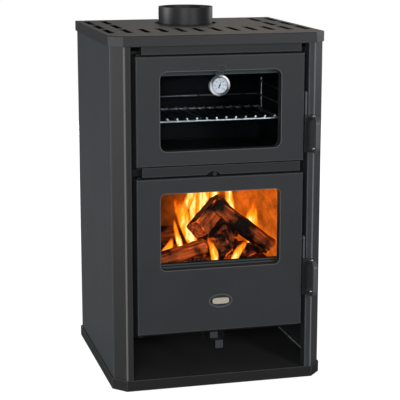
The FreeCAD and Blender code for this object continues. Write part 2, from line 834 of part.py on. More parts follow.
# Oven rack of wires laid over two cross bars between two side bars
rack_half = "(opening_half - runner_inset - 2)"
rack_front = "frame_rear + rack_front_gap"
rack_length = "oven_depth - rack_front_gap - rack_rear_gap"
bars = []
for hand in (-1, 1):
    bars.append(rod(f"rack_side_{hand + 1}", "Y", (f"{hand} * {rack_half}", rack_front, "rack_level"),
                    "runner_radius", rack_length))
for end, place in enumerate((f"{rack_front} + 5", f"{rack_front} + {rack_length} - 5")):
    bars.append(rod(f"rack_cross_{end}", "X", (f"-{rack_half}", place, "rack_level"), "runner_radius",
                    f"2 * {rack_half}"))
RACK_WIRES = 13
for wire in range(RACK_WIRES):
    across = f"({wire + 1} * 2 / {RACK_WIRES + 1} - 1) * {rack_half}"
    height = "rack_level + runner_radius + rack_wire_radius / 2"
    bars.append(rod(f"rack_wire_{wire}", "Y", (across, rack_front, height), "rack_wire_radius", rack_length))
node(fuse("oven_rack", *bars))


def bricks(name, across, along, count, split_across):
    """Firebricks side by side along one wall, standing on the grate shelf."""
    line = []
    low, high = across if split_across else along
    step = f"(({high}) - ({low}) + brick_joint) / {count}"
    for place in range(count):
        start = f"({low}) + {place} * {step}"
        span = (start, f"{start} + {step} - brick_joint")
        x, y = (span, along) if split_across else (across, span)
        line.append(block(f"{name}_{place}", x, y, ("shelf_top", "brick_top")))
    return group(name, *line)


# Firebricks lining the sides and the back of the firebox
brick_run = ("frame_rear + brick_front_gap", "body_back - brick_thickness")
node(bricks("firebrick_left", ("-body_inner", "-brick_inner"), brick_run, 3, False))
node(bricks("firebrick_right", ("brick_inner", "body_inner"), brick_run, 3, False))
back_wall = ("body_back - brick_thickness", "body_back")
node(bricks("firebrick_back", ("-body_inner", "body_inner"), back_wall, 3, True))

# Smoke baffle lying on the bricks, with the bypass hole that the damper shuts
bypass = ("-bypass_width / 2", "bypass_width / 2")
node(cut("smoke_baffle",
         block("baffle_whole", ("-body_inner", "body_inner"), ("frame_rear + baffle_mouth", "body_back"),
               ("brick_top", "baffle_top")),
         block("baffle_bypass", bypass, ("bypass_back - bypass_depth", "bypass_back"),
               ("brick_top", "baffle_top"))))

# Damper: a sheet that slides on the baffle, pulled by a long rod with a knob
damper_back = "bypass_back + damper_lap"
damper_front = f"{damper_back} - bypass_depth - 2 * damper_lap"
arm = ("-notch_offset - damper_arm_width / 2", "-notch_offset + damper_arm_width / 2")
arm_front = f"{damper_front} - damper_arm"
damper_flat = ("damper_under", "damper_under + damper_sheet")
node(fuse("damper_plate",
          block("damper_flap", ("-bypass_width / 2 - damper_lap", "bypass_width / 2 + damper_lap"),
                (damper_front, damper_back), damper_flat),
          block("damper_arm_flat", arm, (arm_front, damper_front), damper_flat),
          block("damper_arm_upstand", arm, (arm_front, f"{arm_front} + damper_sheet"),
                ("damper_under", "damper_level + rod_radius + damper_sheet"))))
knob_front = "front + knob_setback"
knob_start = ("-notch_offset", knob_front, "damper_level")
node(fuse("damper_rod",
          rod("damper_knob", "Y", knob_start, "knob_radius", "knob_length"),
          rod("damper_stem", "Y", knob_start, "rod_radius", f"{arm_front} - ({knob_front})")))

# Shelf with the grate laid over its hole
grate_across = ("-grate_width / 2", "grate_width / 2")
grate_along = ("grate_front", "grate_front + grate_depth")
node(cut("grate_shelf",
         block("shelf_whole", ("-body_inner", "body_inner"), ("frame_rear", "body_back"),
               ("shelf_top - shelf_sheet", "shelf_top")),
         block("shelf_hole", ("grate_ledge - grate_width / 2", "grate_width / 2 - grate_ledge"),
               ("grate_front + grate_ledge", "grate_front + grate_depth - grate_ledge"),
               ("shelf_top - shelf_sheet", "shelf_top"))))
GRATE_SLOTS = 9
fire_grate = plate("fire_grate", "XY_Plane", "shelf_top", "grate_thickness",
                   (rectangle, grate_across, grate_along))
grate_slot = drawing(fire_grate, "XY_Plane", "grate_top")
slot_left = "grate_border - grate_width / 2"
rectangle(grate_slot, (slot_left, f"{slot_left} + grate_slot"),
          ("grate_front + grate_border", "grate_front + grate_depth - grate_border"))
first_grate_slot = pocket(fire_grate, grate_slot, "grate_thickness")
row_of(fire_grate, first_grate_slot, grate_slot, "H_Axis", "grate_width - 2 * grate_border - grate_slot",
       GRATE_SLOTS)
node(fire_grate)

# Ash drawer, welded from five plates, with a lip on its front to pull it by
drawer_front = "frame_rear + drawer_setback"
drawer_back = f"{drawer_front} + drawer_depth"
drawer_low = "ash_floor + drawer_clearance"
drawer_across = ("-drawer_width / 2", "drawer_width / 2")
drawer_inside = ("drawer_sheet - drawer_width / 2", "drawer_width / 2 - drawer_sheet")
drawer_along = (drawer_front, drawer_back)
wall_rise = (f"{drawer_low} + drawer_sheet", f"{drawer_low} + drawer_height")
lip_level = f"{drawer_low} + drawer_lip_rise"
node(group("ash_drawer",
           block("drawer_floor", drawer_across, drawer_along, (drawer_low, wall_rise[0])),
           block("drawer_left", (drawer_across[0], drawer_inside[0]), drawer_along, wall_rise),
           block("drawer_right", (drawer_inside[1], drawer_across[1]), drawer_along, wall_rise),
           block("drawer_front", drawer_inside, (drawer_front, f"{drawer_front} + drawer_sheet"), wall_rise),
           block("drawer_back", drawer_inside, (f"{drawer_back} - drawer_sheet", drawer_back), wall_rise),
           block("drawer_lip", ("-drawer_lip_width / 2", "drawer_lip_width / 2"),
                 (f"{drawer_front} - drawer_lip_reach", drawer_front),
                 (lip_level, f"{lip_level} + drawer_sheet"))))


def air_slide(name, offset, setback, back, drop, tab):
    """A flat bar with a finger tab in front and, at its back end, a shutter under the air hole."""
    across = (f"{offset} - slide_width / 2", f"{offset} + slide_width / 2")
    bar_top = f"ceiling_under - {drop}"
    bar_under = f"{bar_top} - slide_sheet"
    start = f"front + {setback}"
    end = f"front + {back}"
    return fuse(name,
                block(f"{name}_bar", across, (start, end), (bar_under, bar_top)),
                block(f"{name}_tab", across, (start, f"{start} + slide_sheet"),
                      (f"{bar_top} - {tab}", bar_top)),
                block(f"{name}_upstand", across, (f"{end} - slide_sheet", end), (bar_under, "shutter_top")),
                block(f"{name}_shutter", ("-shutter_width / 2", "shutter_width / 2"),
                      (f"{end} - shutter_depth", end), ("shutter_under", "shutter_top")))


slides = [
    ("primary_air_slide", "primary_offset", "primary_setback", "primary_back", "primary_drop",
     "primary_tab"),
    ("secondary_air_slide", "secondary_offset", "secondary_setback", "secondary_back", "secondary_drop",
     "secondary_tab"),
]
for slide in slides:
    node(air_slide(*slide))

# Guides of the air slides: two slotted hangers and a lipped strip beside the shutters
guides = []
shutter_front = "front + primary_back - shutter_depth - shutter_travel"
for end, place in enumerate(("front + hanger_setback", f"{shutter_front} - hanger_gap")):
    depth = (place, f"{place} + hanger_sheet")
    ways = []
    for name, offset, setback, back, drop, tab in slides:
        across = [f"{offset} {side} (slide_width / 2 + slide_clearance)" for side in "-+"]
        height = (f"ceiling_under - {drop} - slide_sheet - slide_clearance",
                  f"ceiling_under - {drop} + slide_clearance")
        ways.append(block(f"{name}_way_{end}", across, depth, height))
    hanger = block(f"hanger_{end}_whole", ("-hanger_width / 2", "hanger_width / 2"), depth,
                   ("ceiling_under - secondary_drop - 2 * slide_sheet", "ceiling_under"))
    guides.append(cut(f"hanger_{end}", hanger, *ways))
for hand in (-1, 1):
    wall = "(shutter_width / 2 + slide_clearance)"
    lip = "(shutter_width / 2 - guide_lip)"
    out = f"({wall} + hanger_sheet)"
    along = (shutter_front, "front + secondary_back")
    lip_top = "shutter_under - shutter_clearance"
    wall_x = (wall, out) if hand > 0 else (f"-{out}", f"-{wall}")
    lip_x = (lip, out) if hand > 0 else (f"-{out}", f"-{lip}")
    lip_under = f"{lip_top} - hanger_sheet"
    guides.append(fuse(f"shutter_guide_{hand + 1}",
                       block(f"guide_wall_{hand + 1}", wall_x, along, (lip_under, "ceiling_under")),
                       block(f"guide_lip_{hand + 1}", lip_x, along, (lip_under, lip_top))))
node(group("air_slide_guides", *guides))

DOORS = {
    "oven": {"bottom": "oven_bottom", "top": "oven_top", "sill": "oven_window_sill",
             "corner": "oven_window_corner", "latch": "oven_latch",
             "head_strip": "retainer_head_reach", "sill_strip": "retainer_reach"},
    "fire": {"bottom": "fire_bottom", "top": "fire_top", "sill": "fire_window_sill",
             "corner": "fire_window_corner", "latch": "fire_latch",
             "head_strip": "retainer_reach", "sill_strip": "retainer_sill_reach"},
}


def window_of(door, margin="0"):
    """The window's two spans and corner, grown by a margin."""
    across = (f"-window_half - ({margin})", f"window_half + ({margin})")
    along = (f"{door['bottom']} + {door['sill']} - ({margin})", f"{door['top']} - window_head + ({margin})")
    return across, along, f"{door['corner']} + ({margin})"


def door_panel(name, door):
    """A folded door tray with a deep window, hinge bosses and holes for its pins and latch bolt."""
    panel = body(name)
    front_face = drawing(panel, "XZ_Plane", "door_face")
    rectangle(front_face, ("-door_half", "door_half"), (door["bottom"], door["top"]))
    pad(panel, front_face, "door_depth", backwards=True)
    round_edges(panel, "door_round", lambda middle, along, length: near(middle.y, "door_face"))
    hollow = drawing(panel, "XZ_Plane", "door_rear")
    rectangle(hollow, ("door_sheet - door_half", "door_half - door_sheet"),
              (f"{door['bottom']} + door_sheet", f"{door['top']} - door_sheet"))
    rounded(hollow, *window_of(door, "door_sheet"))
    pocket(panel, hollow, "door_depth - door_sheet", backwards=True)
    window = drawing(panel, "XZ_Plane", "door_face")
    rounded(window, *window_of(door))
    pocket(panel, window, "door_depth")
    bosses = drawing(panel, "XZ_Plane", "door_face + door_sheet")
    boss_x = ("door_sheet - door_half", "door_sheet - door_half + boss_width")
    rectangle(bosses, boss_x, (f"{door['bottom']} + door_sheet", f"{door['bottom']} + pin_reach"))
    rectangle(bosses, boss_x, (f"{door['top']} - pin_reach", f"{door['top']} - door_sheet"))
    pad(panel, bosses, "boss_width", backwards=True)
    pin_holes = drawing(panel, "XY_Plane", door["bottom"])
    circle(pin_holes, "hinge_x", "hinge_y", "pin_radius + pin_clearance")
    pocket(panel, pin_holes, f"{door['top']} - {door['bottom']}", backwards=True)
    bolt_hole = drawing(panel, "YZ_Plane", "door_half")
    circle(bolt_hole, "latch_y", door["latch"], "pivot_radius + pivot_clearance")
    pocket(panel, bolt_hole, "door_sheet")
    return panel


def glass_retainers(name, door):
    """Four strips on the door's inner side that clamp the glass, with their screws.
    The wide one shows in the window: the oven's at the top, the firebox's at the foot."""
    across, (low, high), corner = window_of(door, "glass_lap")
    head_edge = f"{high} - {door['head_strip']}"
    sill_edge = f"{low} + {door['sill_strip']}"
    lip = ("glass_rear", "glass_rear + retainer_sheet")
    leg = ("door_rear", "glass_rear + retainer_sheet")
    inner = "window_half + glass_lap - retainer_reach"
    outer = "window_half + glass_lap + retainer_leg"
    edge = "window_half + glass_lap"
    wide = (f"-({outer})", outer)
    pieces = [
        fuse(f"{name}_head", block(f"{name}_head_leg", wide, leg, (high, f"{high} + retainer_leg")),
             block(f"{name}_head_lip", wide, lip, (head_edge, high))),
        fuse(f"{name}_sill", block(f"{name}_sill_leg", wide, leg, (f"{low} - retainer_leg", low)),
             block(f"{name}_sill_lip", wide, lip, (low, sill_edge))),
    ]
    stile = (sill_edge, head_edge)
    for hand in (-1, 1):
        leg_x, lip_x = ((edge, outer), (inner, edge))
        if hand < 0:
            leg_x, lip_x = ((f"-({outer})", f"-({edge})"), (f"-({edge})", f"-({inner})"))
        pieces.append(fuse(f"{name}_side_{hand + 1}", block(f"{name}_leg_{hand + 1}", leg_x, leg, stile),
                           block(f"{name}_lip_{hand + 1}", lip_x, lip, stile)))
    screw_x = "window_half + glass_lap + retainer_leg / 2"
    rows = (f"{high} + retainer_leg / 2", f"{low} - retainer_leg / 2")
    heads = [(f"{share} * ({screw_x})", height) for height in rows for share in (-0.8, 0, 0.8)]
    heads += [(f"{hand} * ({screw_x})", f"({stile[0]} + {stile[1]}) / 2") for hand in (-1, 1)]
    for head, (place, height) in enumerate(heads):
        start = (place, lip[1], height)
        pieces.append(rod(f"{name}_screw_{head}", "Y", start, "retainer_screw_radius", "retainer_screw_head"))
    return group(name, *pieces)


def door_seal(name, door):
    """The rope seal, one closed loop between the door's liner and the front frame."""
    seal = body(name)
    ring = drawing(seal, "XZ_Plane", "door_rear")
    for grow, corner in (("seal_offset + seal_width", "opening_corner + seal_offset + seal_width"),
                         ("seal_offset", "opening_corner + seal_offset")):
        across = (f"-opening_half - ({grow})", f"opening_half + {grow}")
        along = (f"{door['bottom']} + opening_margin - ({grow})", f"{door['top']} - opening_margin + {grow}")
        rounded(ring, across, along, corner)
    pad(seal, ring, "frame_front - door_rear - seal_clearance", backwards=True)
    rear_edge = "frame_front - seal_clearance"
    round_edges(seal, "seal_round", lambda middle, along, length: near(middle.y, rear_edge))
    return seal


def latch_pivot(name, door):
    """The shoulder bolt in the door's edge on which the latch lever turns."""
    shank, collar, head = [(start, "latch_y", door["latch"]) for start in
                           ("door_half - door_sheet", "door_half", "lever_right + pivot_play")]
    return fuse(name,
                rod(f"{name}_shank", "X", shank, "pivot_radius",
                    "lever_right + pivot_play - door_half + door_sheet"),
                rod(f"{name}_collar", "X", collar, "pivot_head_radius", "lever_gap - pivot_play"),
                rod(f"{name}_head", "X", head, "pivot_head_radius", "pivot_head"))


def latch_lever(name, door):
    """A flat lever with a hook behind its pivot and a plate in front that carries the handle."""
    pivot = door["latch"]
    lever = body(name)
    side = drawing(lever, "YZ_Plane", "lever_left")
    rear_edge = "latch_y + lever_width / 2"
    polygon(side, [
        ("latch_front", f"{pivot} - lever_tail"),
        (rear_edge, f"{pivot} - lever_tail"),
        (rear_edge, f"{pivot} - hook_arm"),
        ("hook_end", f"{pivot} - hook_arm"),
        ("hook_end", f"{pivot} + hook_rise"),
        ("hook_face", f"{pivot} + hook_rise"),
        ("hook_face", pivot),
        ("latch_front", pivot),
    ])
    pad(lever, side, "lever_sheet")
    eye = drawing(lever, "YZ_Plane", "lever_left")
    circle(eye, "latch_y", pivot, "lever_width / 2")
    pad(lever, eye, "lever_sheet")
    hole = drawing(lever, "YZ_Plane", "lever_left")
    circle(hole, "latch_y", pivot, "pivot_radius + pivot_clearance")
    pocket(lever, hole, "lever_sheet", backwards=True)
    face = drawing(lever, "XZ_Plane", "plate_front")
    plate_top = f"{pivot} - handle_drop"
    rectangle(face, ("lever_left - handle_plate_lap", "lever_right + handle_plate_reach"),
              (f"{plate_top} - handle_plate_height", plate_top))
    pad(lever, face, "handle_plate_sheet", backwards=True)
    return lever


def handle_bow(name, door):
    """The bow that the hand pulls, a flat bar bent into a D."""
    middle = f"({door['latch']} - handle_drop - handle_plate_height / 2)"
    high = f"{middle} + bow_height / 2"
    low = f"{middle} - bow_height / 2"
    root = "plate_front - ferrule_length"
    tip = "plate_front - bow_reach"
    bow = body(name)
    side = drawing(bow, "YZ_Plane", "bow_left")
    polygon(side, [
        (root, high), (tip, high), (tip, low), (root, low),
        (root, f"{low} + bow_thickness"), (f"{tip} + bow_thickness", f"{low} + bow_thickness"),
        (f"{tip} + bow_thickness", f"{high} - bow_thickness"), (root, f"{high} - bow_thickness"),
    ])
    pad(bow, side, "bow_width")

    def crosswise(middle, along, length):
        return abs(along.x) > 0.9
    round_edges(bow, "bow_corner", lambda middle, along, length:
                crosswise(middle, along, length) and near(middle.y, tip))
    round_edges(bow, "bow_corner - bow_thickness", lambda middle, along, length:
                crosswise(middle, along, length) and near(middle.y, f"{tip} + bow_thickness"))
    round_edges(bow, "bow_round", lambda middle, along, length:
                abs(along.x) < 0.1 and middle.y < value(root) - 0.1)
    return bow


def handle_ferrules(name, door):
    """Two bright spacers between the lever's plate and the feet of the bow."""
    middle = f"({door['latch']} - handle_drop - handle_plate_height / 2)"
    pieces = []
    for hand in (-1, 1):
        height = f"{middle} + {hand} * (bow_height - bow_thickness) / 2"
        place = ("bow_left + bow_width / 2", "plate_front - ferrule_length", height)
        pieces.append(rod(f"{name}_{hand + 1}", "Y", place, "ferrule_radius", "ferrule_length"))
    return group(name, *pieces)


# Both doors, each with its liner, glass, seal and latch
lugs = []
pins = []
catches = []
for kind, door in DOORS.items():
    panel = door_panel(f"{kind}_door_panel", door)
    if kind == "fire":
        recess = drawing(panel, "XZ_Plane", "door_face")
        oval(recess, "fire_bottom + badge_rise", "badge_recess_width", "badge_recess_height")
        pocket(panel, recess, "badge_recess")
    node(panel)
    inside = ("door_sheet - door_half", "door_half - door_sheet")
    node(plate(f"{kind}_door_liner", "XZ_Plane", "door_rear - liner_sheet", "liner_sheet",
               (rectangle, inside, (f"{door['bottom']} + door_sheet", f"{door['top']} - door_sheet")),
               ((rounded, *window_of(door, "door_sheet")),)))
    glass_x, glass_z, glass_corner = window_of(door, "glass_lap")
    node(block(f"{kind}_door_glass", glass_x, ("door_rear", "glass_rear"), glass_z))
    node(glass_retainers(f"{kind}_glass_retainers", door))
    node(door_seal(f"{kind}_door_seal", door))
    node(latch_pivot(f"{kind}_latch_pivot", door))
    node(latch_lever(f"{kind}_latch_lever", door))
    node(handle_bow(f"{kind}_handle_bow", door))
    node(handle_ferrules(f"{kind}_handle_ferrules", door))
    # Hinge lugs on the frame above and below the door, each with a headed pin
    lug_x = ("-door_half", "lug_width - door_half")
    lug_y = ("front + panel_inset", "frame_front")
    top_lug = (f"{door['top']} + hinge_gap", f"{door['top']} + hinge_gap + lug_sheet")
    low_lug = (f"{door['bottom']} - hinge_gap - lug_sheet", f"{door['bottom']} - hinge_gap")
    shank = "lug_sheet + hinge_gap + pin_reach"
    pin_starts = (f"{door['top']} - pin_reach", f"{door['bottom']} - hinge_gap - lug_sheet")
    head_starts = (top_lug[1], f"{low_lug[0]} - pin_head")
    for end, (lug_z, pin_start, head_start) in enumerate(zip((top_lug, low_lug), pin_starts, head_starts)):
        spot = f"{kind}_{end}"
        starts = (lug_z[0], pin_start, head_start)
        lug_at, pin_at, head_at = [("hinge_x", "hinge_y", start) for start in starts]
        hole = rod(f"lug_hole_{spot}", "Z", lug_at, "pin_radius + pin_clearance", "lug_sheet")
        lugs.append(cut(f"lug_{spot}", block(f"lug_whole_{spot}", lug_x, lug_y, lug_z), hole))
        pins.append(fuse(f"pin_{spot}", rod(f"pin_shank_{spot}", "Z", pin_at, "pin_radius", shank),
                         rod(f"pin_head_{spot}", "Z", head_at, "pin_head_radius", "pin_head")))
    # Catch on the frame that the hook of the latch sits behind
    catch_x = ("lever_left - catch_side", "lever_right + catch_side")
    lip_rear = "hook_face - catch_gap"
    lip_front = f"{lip_rear} - catch_lip"
    pivot = door["latch"]
    catches.append(fuse(f"catch_{kind}",
                        block(f"catch_lip_{kind}", catch_x, (lip_front, lip_rear),
                              (f"{pivot} + catch_low", f"{pivot} + catch_high")),
                        block(f"catch_bridge_{kind}", catch_x, (lip_front, "frame_front"),
                              (f"{pivot} + catch_bridge", f"{pivot} + catch_high"))))
node(group("hinge_lugs", *lugs))
node(group("hinge_pins", *pins))
node(group("latch_catches", *catches))

# Thermometer hung in the oven window: case, dial, lens, needle and the strap that holds it
case = body("thermometer_case")
case_outline = drawing(case, "XZ_Plane", "thermometer_face")
circle(case_outline, "0", "thermometer_level", "thermometer_radius")
pad(case, case_outline, "thermometer_depth", backwards=True)
round_edges(case, "bezel_round", lambda middle, along, length: near(middle.y, "thermometer_face"))
dial_seat = drawing(case, "XZ_Plane", "thermometer_face")
circle(dial_seat, "0", "thermometer_level", "thermometer_radius - thermometer_wall")
pocket(case, dial_seat, "dial_setback + dial_sheet")
coil_room = drawing(case, "XZ_Plane", "thermometer_face")
circle(coil_room, "0", "thermometer_level", "thermometer_radius - thermometer_wall - dial_ledge")
pocket(case, coil_room, "thermometer_depth - thermometer_floor")
node(case)
dial_radius = "thermometer_radius - thermometer_wall"
node(plate("thermometer_dial", "XZ_Plane", "dial_face", "dial_sheet",
           (circle, "0", "thermometer_level", dial_radius),
           ((circle, "0", "thermometer_level", "spindle_radius + pin_clearance"),)))
node(plate("thermometer_lens", "XZ_Plane", "thermometer_face + lens_setback", "lens_sheet",
           (circle, "0", "thermometer_level", dial_radius)))
needle_face = "dial_face - needle_gap - needle_sheet"
needle = body("thermometer_needle")
needle_outline = drawing(needle, "XZ_Plane", needle_face)
lean_x = "sin(needle_angle)"
lean_z = "cos(needle_angle)"


def on_needle(along, across):
    """A point on the needle, measured along it and across it from the spindle."""
    return (f"({along}) * {lean_x} + ({across}) * {lean_z}",
            f"thermometer_level + ({along}) * {lean_z} - ({across}) * {lean_x}")


polygon(needle_outline, [on_needle("-needle_tail", "-needle_width / 2"), on_needle("needle_length", "0"),
                         on_needle("-needle_tail", "needle_width / 2")])
pad(needle, needle_outline, "needle_sheet", backwards=True)
hub = drawing(needle, "XZ_Plane", needle_face)
circle(hub, "0", "thermometer_level", "needle_hub")
pad(needle, hub, "needle_sheet", backwards=True)
spindle = drawing(needle, "XZ_Plane", needle_face)
circle(spindle, "0", "thermometer_level", "spindle_radius")
pad(needle, spindle, "spindle_length", backwards=True)
node(needle)
strap_x = ("-bracket_width / 2", "bracket_width / 2")
strap_front = "door_face - bracket_sheet"
strap_rear = "thermometer_face + thermometer_depth / 2"
strap_low = "oven_window_top - bracket_sheet"
strap = fuse("thermometer_strap",
             block("strap_tab", strap_x, (strap_front, "door_face"),
                   (strap_low, "oven_window_top + bracket_tab")),
             block("strap_run", strap_x, (strap_front, strap_rear), (strap_low, "oven_window_top")),
             block("strap_drop", strap_x, (f"{strap_rear} - bracket_sheet", strap_rear),
                   ("thermometer_level + thermometer_radius / 2", "oven_window_top")))
node(cut("thermometer_bracket", strap,
         rod("strap_seat", "Y", ("0", "thermometer_face", "thermometer_level"), "thermometer_radius",
             "thermometer_depth")))

# Plain oval plate in its recess on the fire door
badge_plate = body("badge_plate")
badge_outline = drawing(badge_plate, "XZ_Plane", "door_face + badge_recess - badge_sheet")
oval(badge_outline, "fire_bottom + badge_rise", "badge_width", "badge_height")
pad(badge_plate, badge_outline, "badge_sheet", backwards=True)
node(badge_plate)

doc.recompute()
failed = [part.Name for part in doc.Objects if {"Invalid", "Error"} & set(part.State)]
failed += [part.Name for part in nodes if part.Shape.isNull() or not part.Shape.isValid()]
if failed:
    raise RuntimeError(f"these pieces failed: {failed}")
os.makedirs("parts", exist_ok=True)
for part in nodes:
    part.Shape.exportStep(f"parts/{part.Label}.step")
print(len(nodes), "sub-parts written")
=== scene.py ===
import math
import random

import bpy
from mathutils import Matrix, Vector


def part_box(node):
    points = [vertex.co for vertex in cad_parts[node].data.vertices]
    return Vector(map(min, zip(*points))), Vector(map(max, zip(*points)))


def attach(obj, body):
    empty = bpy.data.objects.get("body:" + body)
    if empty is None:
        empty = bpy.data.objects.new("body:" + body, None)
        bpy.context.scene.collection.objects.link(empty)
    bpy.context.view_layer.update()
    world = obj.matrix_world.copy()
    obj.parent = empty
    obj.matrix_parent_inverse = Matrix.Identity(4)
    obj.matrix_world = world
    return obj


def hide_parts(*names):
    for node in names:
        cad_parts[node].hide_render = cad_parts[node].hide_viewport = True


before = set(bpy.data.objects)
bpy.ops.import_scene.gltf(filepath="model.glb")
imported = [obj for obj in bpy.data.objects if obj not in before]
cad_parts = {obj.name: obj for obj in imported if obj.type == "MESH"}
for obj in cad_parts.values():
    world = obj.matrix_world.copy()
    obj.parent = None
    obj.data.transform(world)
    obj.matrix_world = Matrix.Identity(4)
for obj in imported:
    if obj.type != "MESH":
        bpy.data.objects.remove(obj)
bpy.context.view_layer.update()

# Casing: base tray, lid and the two side panels folded into front columns.
# Sheet steel, sprayed with charcoal stove enamel and baked: satin, finely grained and a little cloudy.
# Along folds and cut edges the enamel's edge tone is laid on as a painted highlight; on the lid it is dark,
# as painted shade along its edges.


def linear(code):
    """Turns an sRGB hex colour into the linear colour that Blender's nodes take."""
    parts = [int(code[place:place + 2], 16) / 255 for place in (1, 3, 5)]
    return tuple(p / 12.92 if p <= 0.04045 else ((p + 0.055) / 1.055) ** 2.4 for p in parts) + (1.0,)


def output_of(source):
    """The output of a node that is in use; an output stands for itself."""
    if isinstance(source, bpy.types.Node):
        return next(output for output in source.outputs if output.enabled)
    return source


def add_node(material, kind, inputs=None, **settings):
    """Adds a shader node; each input is a plain value, a hex colour, another node or one of its outputs."""
    made = material.node_tree.nodes.new("ShaderNode" + kind)
    for name, value in settings.items():
        setattr(made, name, value)
    for name, value in (inputs or {}).items():
        if isinstance(value, (bpy.types.Node, bpy.types.NodeSocket)):
            material.node_tree.links.new(output_of(value), made.inputs[name])
        else:
            made.inputs[name].default_value = linear(value) if isinstance(value, str) else value
    return made


def new_material(name, **constants):
    """A material, its main shader and the place on the piece; constant sockets are set by name."""
    material = bpy.data.materials.new(name)
    material.use_nodes = True
    shader = material.node_tree.nodes["Principled BSDF"]
    for socket, value in constants.items():
        shader.inputs[socket.replace("_", " ").title().replace("Ior", "IOR")].default_value = value
    return material, shader, add_node(material, "TexCoord").outputs["Object"]


def feed(shader, **sources):
    """Runs nodes into the shader's sockets of those names."""
    for socket, source in sources.items():
        shader.id_data.links.new(output_of(source), shader.inputs[socket.replace("_", " ").title()])


def coat(material, *nodes):
    """Gives CAD nodes this material in place of their plain one."""
    for name in nodes:
        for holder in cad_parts[name].material_slots:
            holder.material = material


def stove_enamel(name, dark, light, roughness, specular=0.2, painted_fold_share=0.0, painted_fold_tone="#8d9093"):
    """Sprayed heat-proof enamel. Its 0.3 mm grain is drawn at 2 mm so that it shows.
    Folds and cut edges take the edge tone, by the given share: a painted highlight where that tone is light,
    painted shade where it is dark."""
    grain_size, cloud_size, fold_radius = 0.002, 0.12, 0.004
    sheen_change, grain_strength, grain_depth = 0.06, 0.12, 0.0004
    flat_fold, sharp_fold = 0.995, 0.93
    material, shader, place = new_material(name, specular_ior_level=specular)
    cloud = add_node(material, "TexNoise",
                     {"Vector": place, "Scale": 1 / cloud_size, "Detail": 4.0, "Roughness": 0.6})
    grain = add_node(material, "TexNoise", {"Vector": place, "Scale": 1 / grain_size, "Detail": 2.0})
    colour = add_node(material, "Mix", {0: cloud, 6: dark, 7: light}, data_type="RGBA")
    sheen = add_node(material, "MapRange",
                     {"Value": grain, "From Min": 0.3, "From Max": 0.7,
                      "To Min": roughness - sheen_change, "To Max": roughness + sheen_change})
    bump = add_node(material, "Bump",
                    {"Height": grain, "Strength": grain_strength, "Distance": grain_depth})
    # Painted light along folds: the Bevel normal marks where a fold turns, and there the edge tone is mixed
    # in.
    if painted_fold_share:
        folded = add_node(material, "Bevel", {"Radius": fold_radius}, samples=6)
        flat = add_node(material, "NewGeometry")
        turn = add_node(material, "VectorMath",
                        {0: folded, 1: flat.outputs["Normal"]}, operation="DOT_PRODUCT")
        edge = add_node(material, "MapRange",
                        {"Value": turn, "From Min": flat_fold, "From Max": sharp_fold, "To Max": painted_fold_share})
        colour = add_node(material, "Mix", {0: edge, 6: colour, 7: painted_fold_tone}, data_type="RGBA")
    feed(shader, base_color=colour, roughness=sheen, normal=bump)
    return material


side_enamel = stove_enamel("charcoal_enamel_sides", "#34383b", "#3c4043", roughness=0.48, painted_fold_share=0.75)
coat(side_enamel, "side_panel_left", "side_panel_right")
# Painted shade darkens the column on the hinge side towards a brownish black, and a painted highlight runs
# down both front folds.
COLUMN_BACK, COLUMN_BLEND, COLUMN_SHADE = -0.226, 0.004, 0.65
FRONT_FOLD, HIGHLIGHT_WIDTH, HIGHLIGHT_SHARE = (0.2508, 0.2582, 0.0), 0.0034, 0.36
IN_PLAN = (1.0, 1.0, 0.0)
shader = side_enamel.node_tree.nodes["Principled BSDF"]
fresh = shader.inputs["Base Color"].links[0].from_socket
place = add_node(side_enamel, "TexCoord").outputs["Object"]
axes = add_node(side_enamel, "SeparateXYZ", {"Vector": place})
# Painted shade on the hinge-side column, mixed in from the column's back edge forwards.
column = add_node(side_enamel, "MapRange",
                  {"Value": axes.outputs["Y"], "From Min": COLUMN_BACK,
                   "From Max": COLUMN_BACK - COLUMN_BLEND, "To Max": COLUMN_SHADE})
hinge_side = add_node(side_enamel, "Math", {0: axes.outputs["X"], 1: 0.0}, operation="LESS_THAN")
hinge_column_shade = add_node(side_enamel, "Math", {0: column, 1: hinge_side}, operation="MULTIPLY")
browned_and_shaded = add_node(side_enamel, "Mix", {0: hinge_column_shade, 6: fresh, 7: "#2b2826"}, data_type="RGBA")
# Painted highlight: a pale line along each front fold, measured in plan.
either_side = add_node(side_enamel, "VectorMath", {0: place}, operation="ABSOLUTE")
plan = add_node(side_enamel, "VectorMath", {0: either_side, 1: IN_PLAN}, operation="MULTIPLY")
from_fold = add_node(side_enamel, "VectorMath", {0: plan, 1: FRONT_FOLD}, operation="DISTANCE")
fold_highlight = add_node(side_enamel, "MapRange",
               {"Value": from_fold, "From Min": HIGHLIGHT_WIDTH, "From Max": HIGHLIGHT_WIDTH / 2, "To Max": HIGHLIGHT_SHARE})
highlighted_folds = add_node(side_enamel, "Mix", {0: fold_highlight, 6: browned_and_shaded, 7: "#a3a4a4"}, data_type="RGBA")
feed(shader, base_color=highlighted_folds)

coat(stove_enamel("charcoal_enamel_base", "#222222", "#2a2a2a", roughness=0.52, painted_fold_share=0.2), "base_tray")
# The lid's folds and edges take a near-black tone: painted shade.
coat(stove_enamel("charcoal_enamel_lid", "#27282b", "#2f3033", roughness=0.42, specular=0.3,
                  painted_fold_share=0.8, painted_fold_tone="#101011"), "top_plate")
coat(stove_enamel("painted_screw_heads", "#2b2d2f", "#343638", roughness=0.5), "casing_screws")

# Log store floor and ceiling, and the rear heat shield with its louvre slots.
# The same sheet steel: matt black heat paint inside the store, a thinner coat of the casing's enamel behind.
coat(stove_enamel("matt_black_heat_paint", "#333434", "#3d3e3d", roughness=0.7), "store_floor")
coat(stove_enamel("charcoal_shield_enamel", "#2a2c2e", "#333537", roughness=0.6, painted_fold_share=0.2), "rear_panel")
coat(stove_enamel("dull_black_heat_paint", "#0c0d0d", "#151616", roughness=0.8, specular=0.1),
     "store_ceiling", "air_slide_guides")

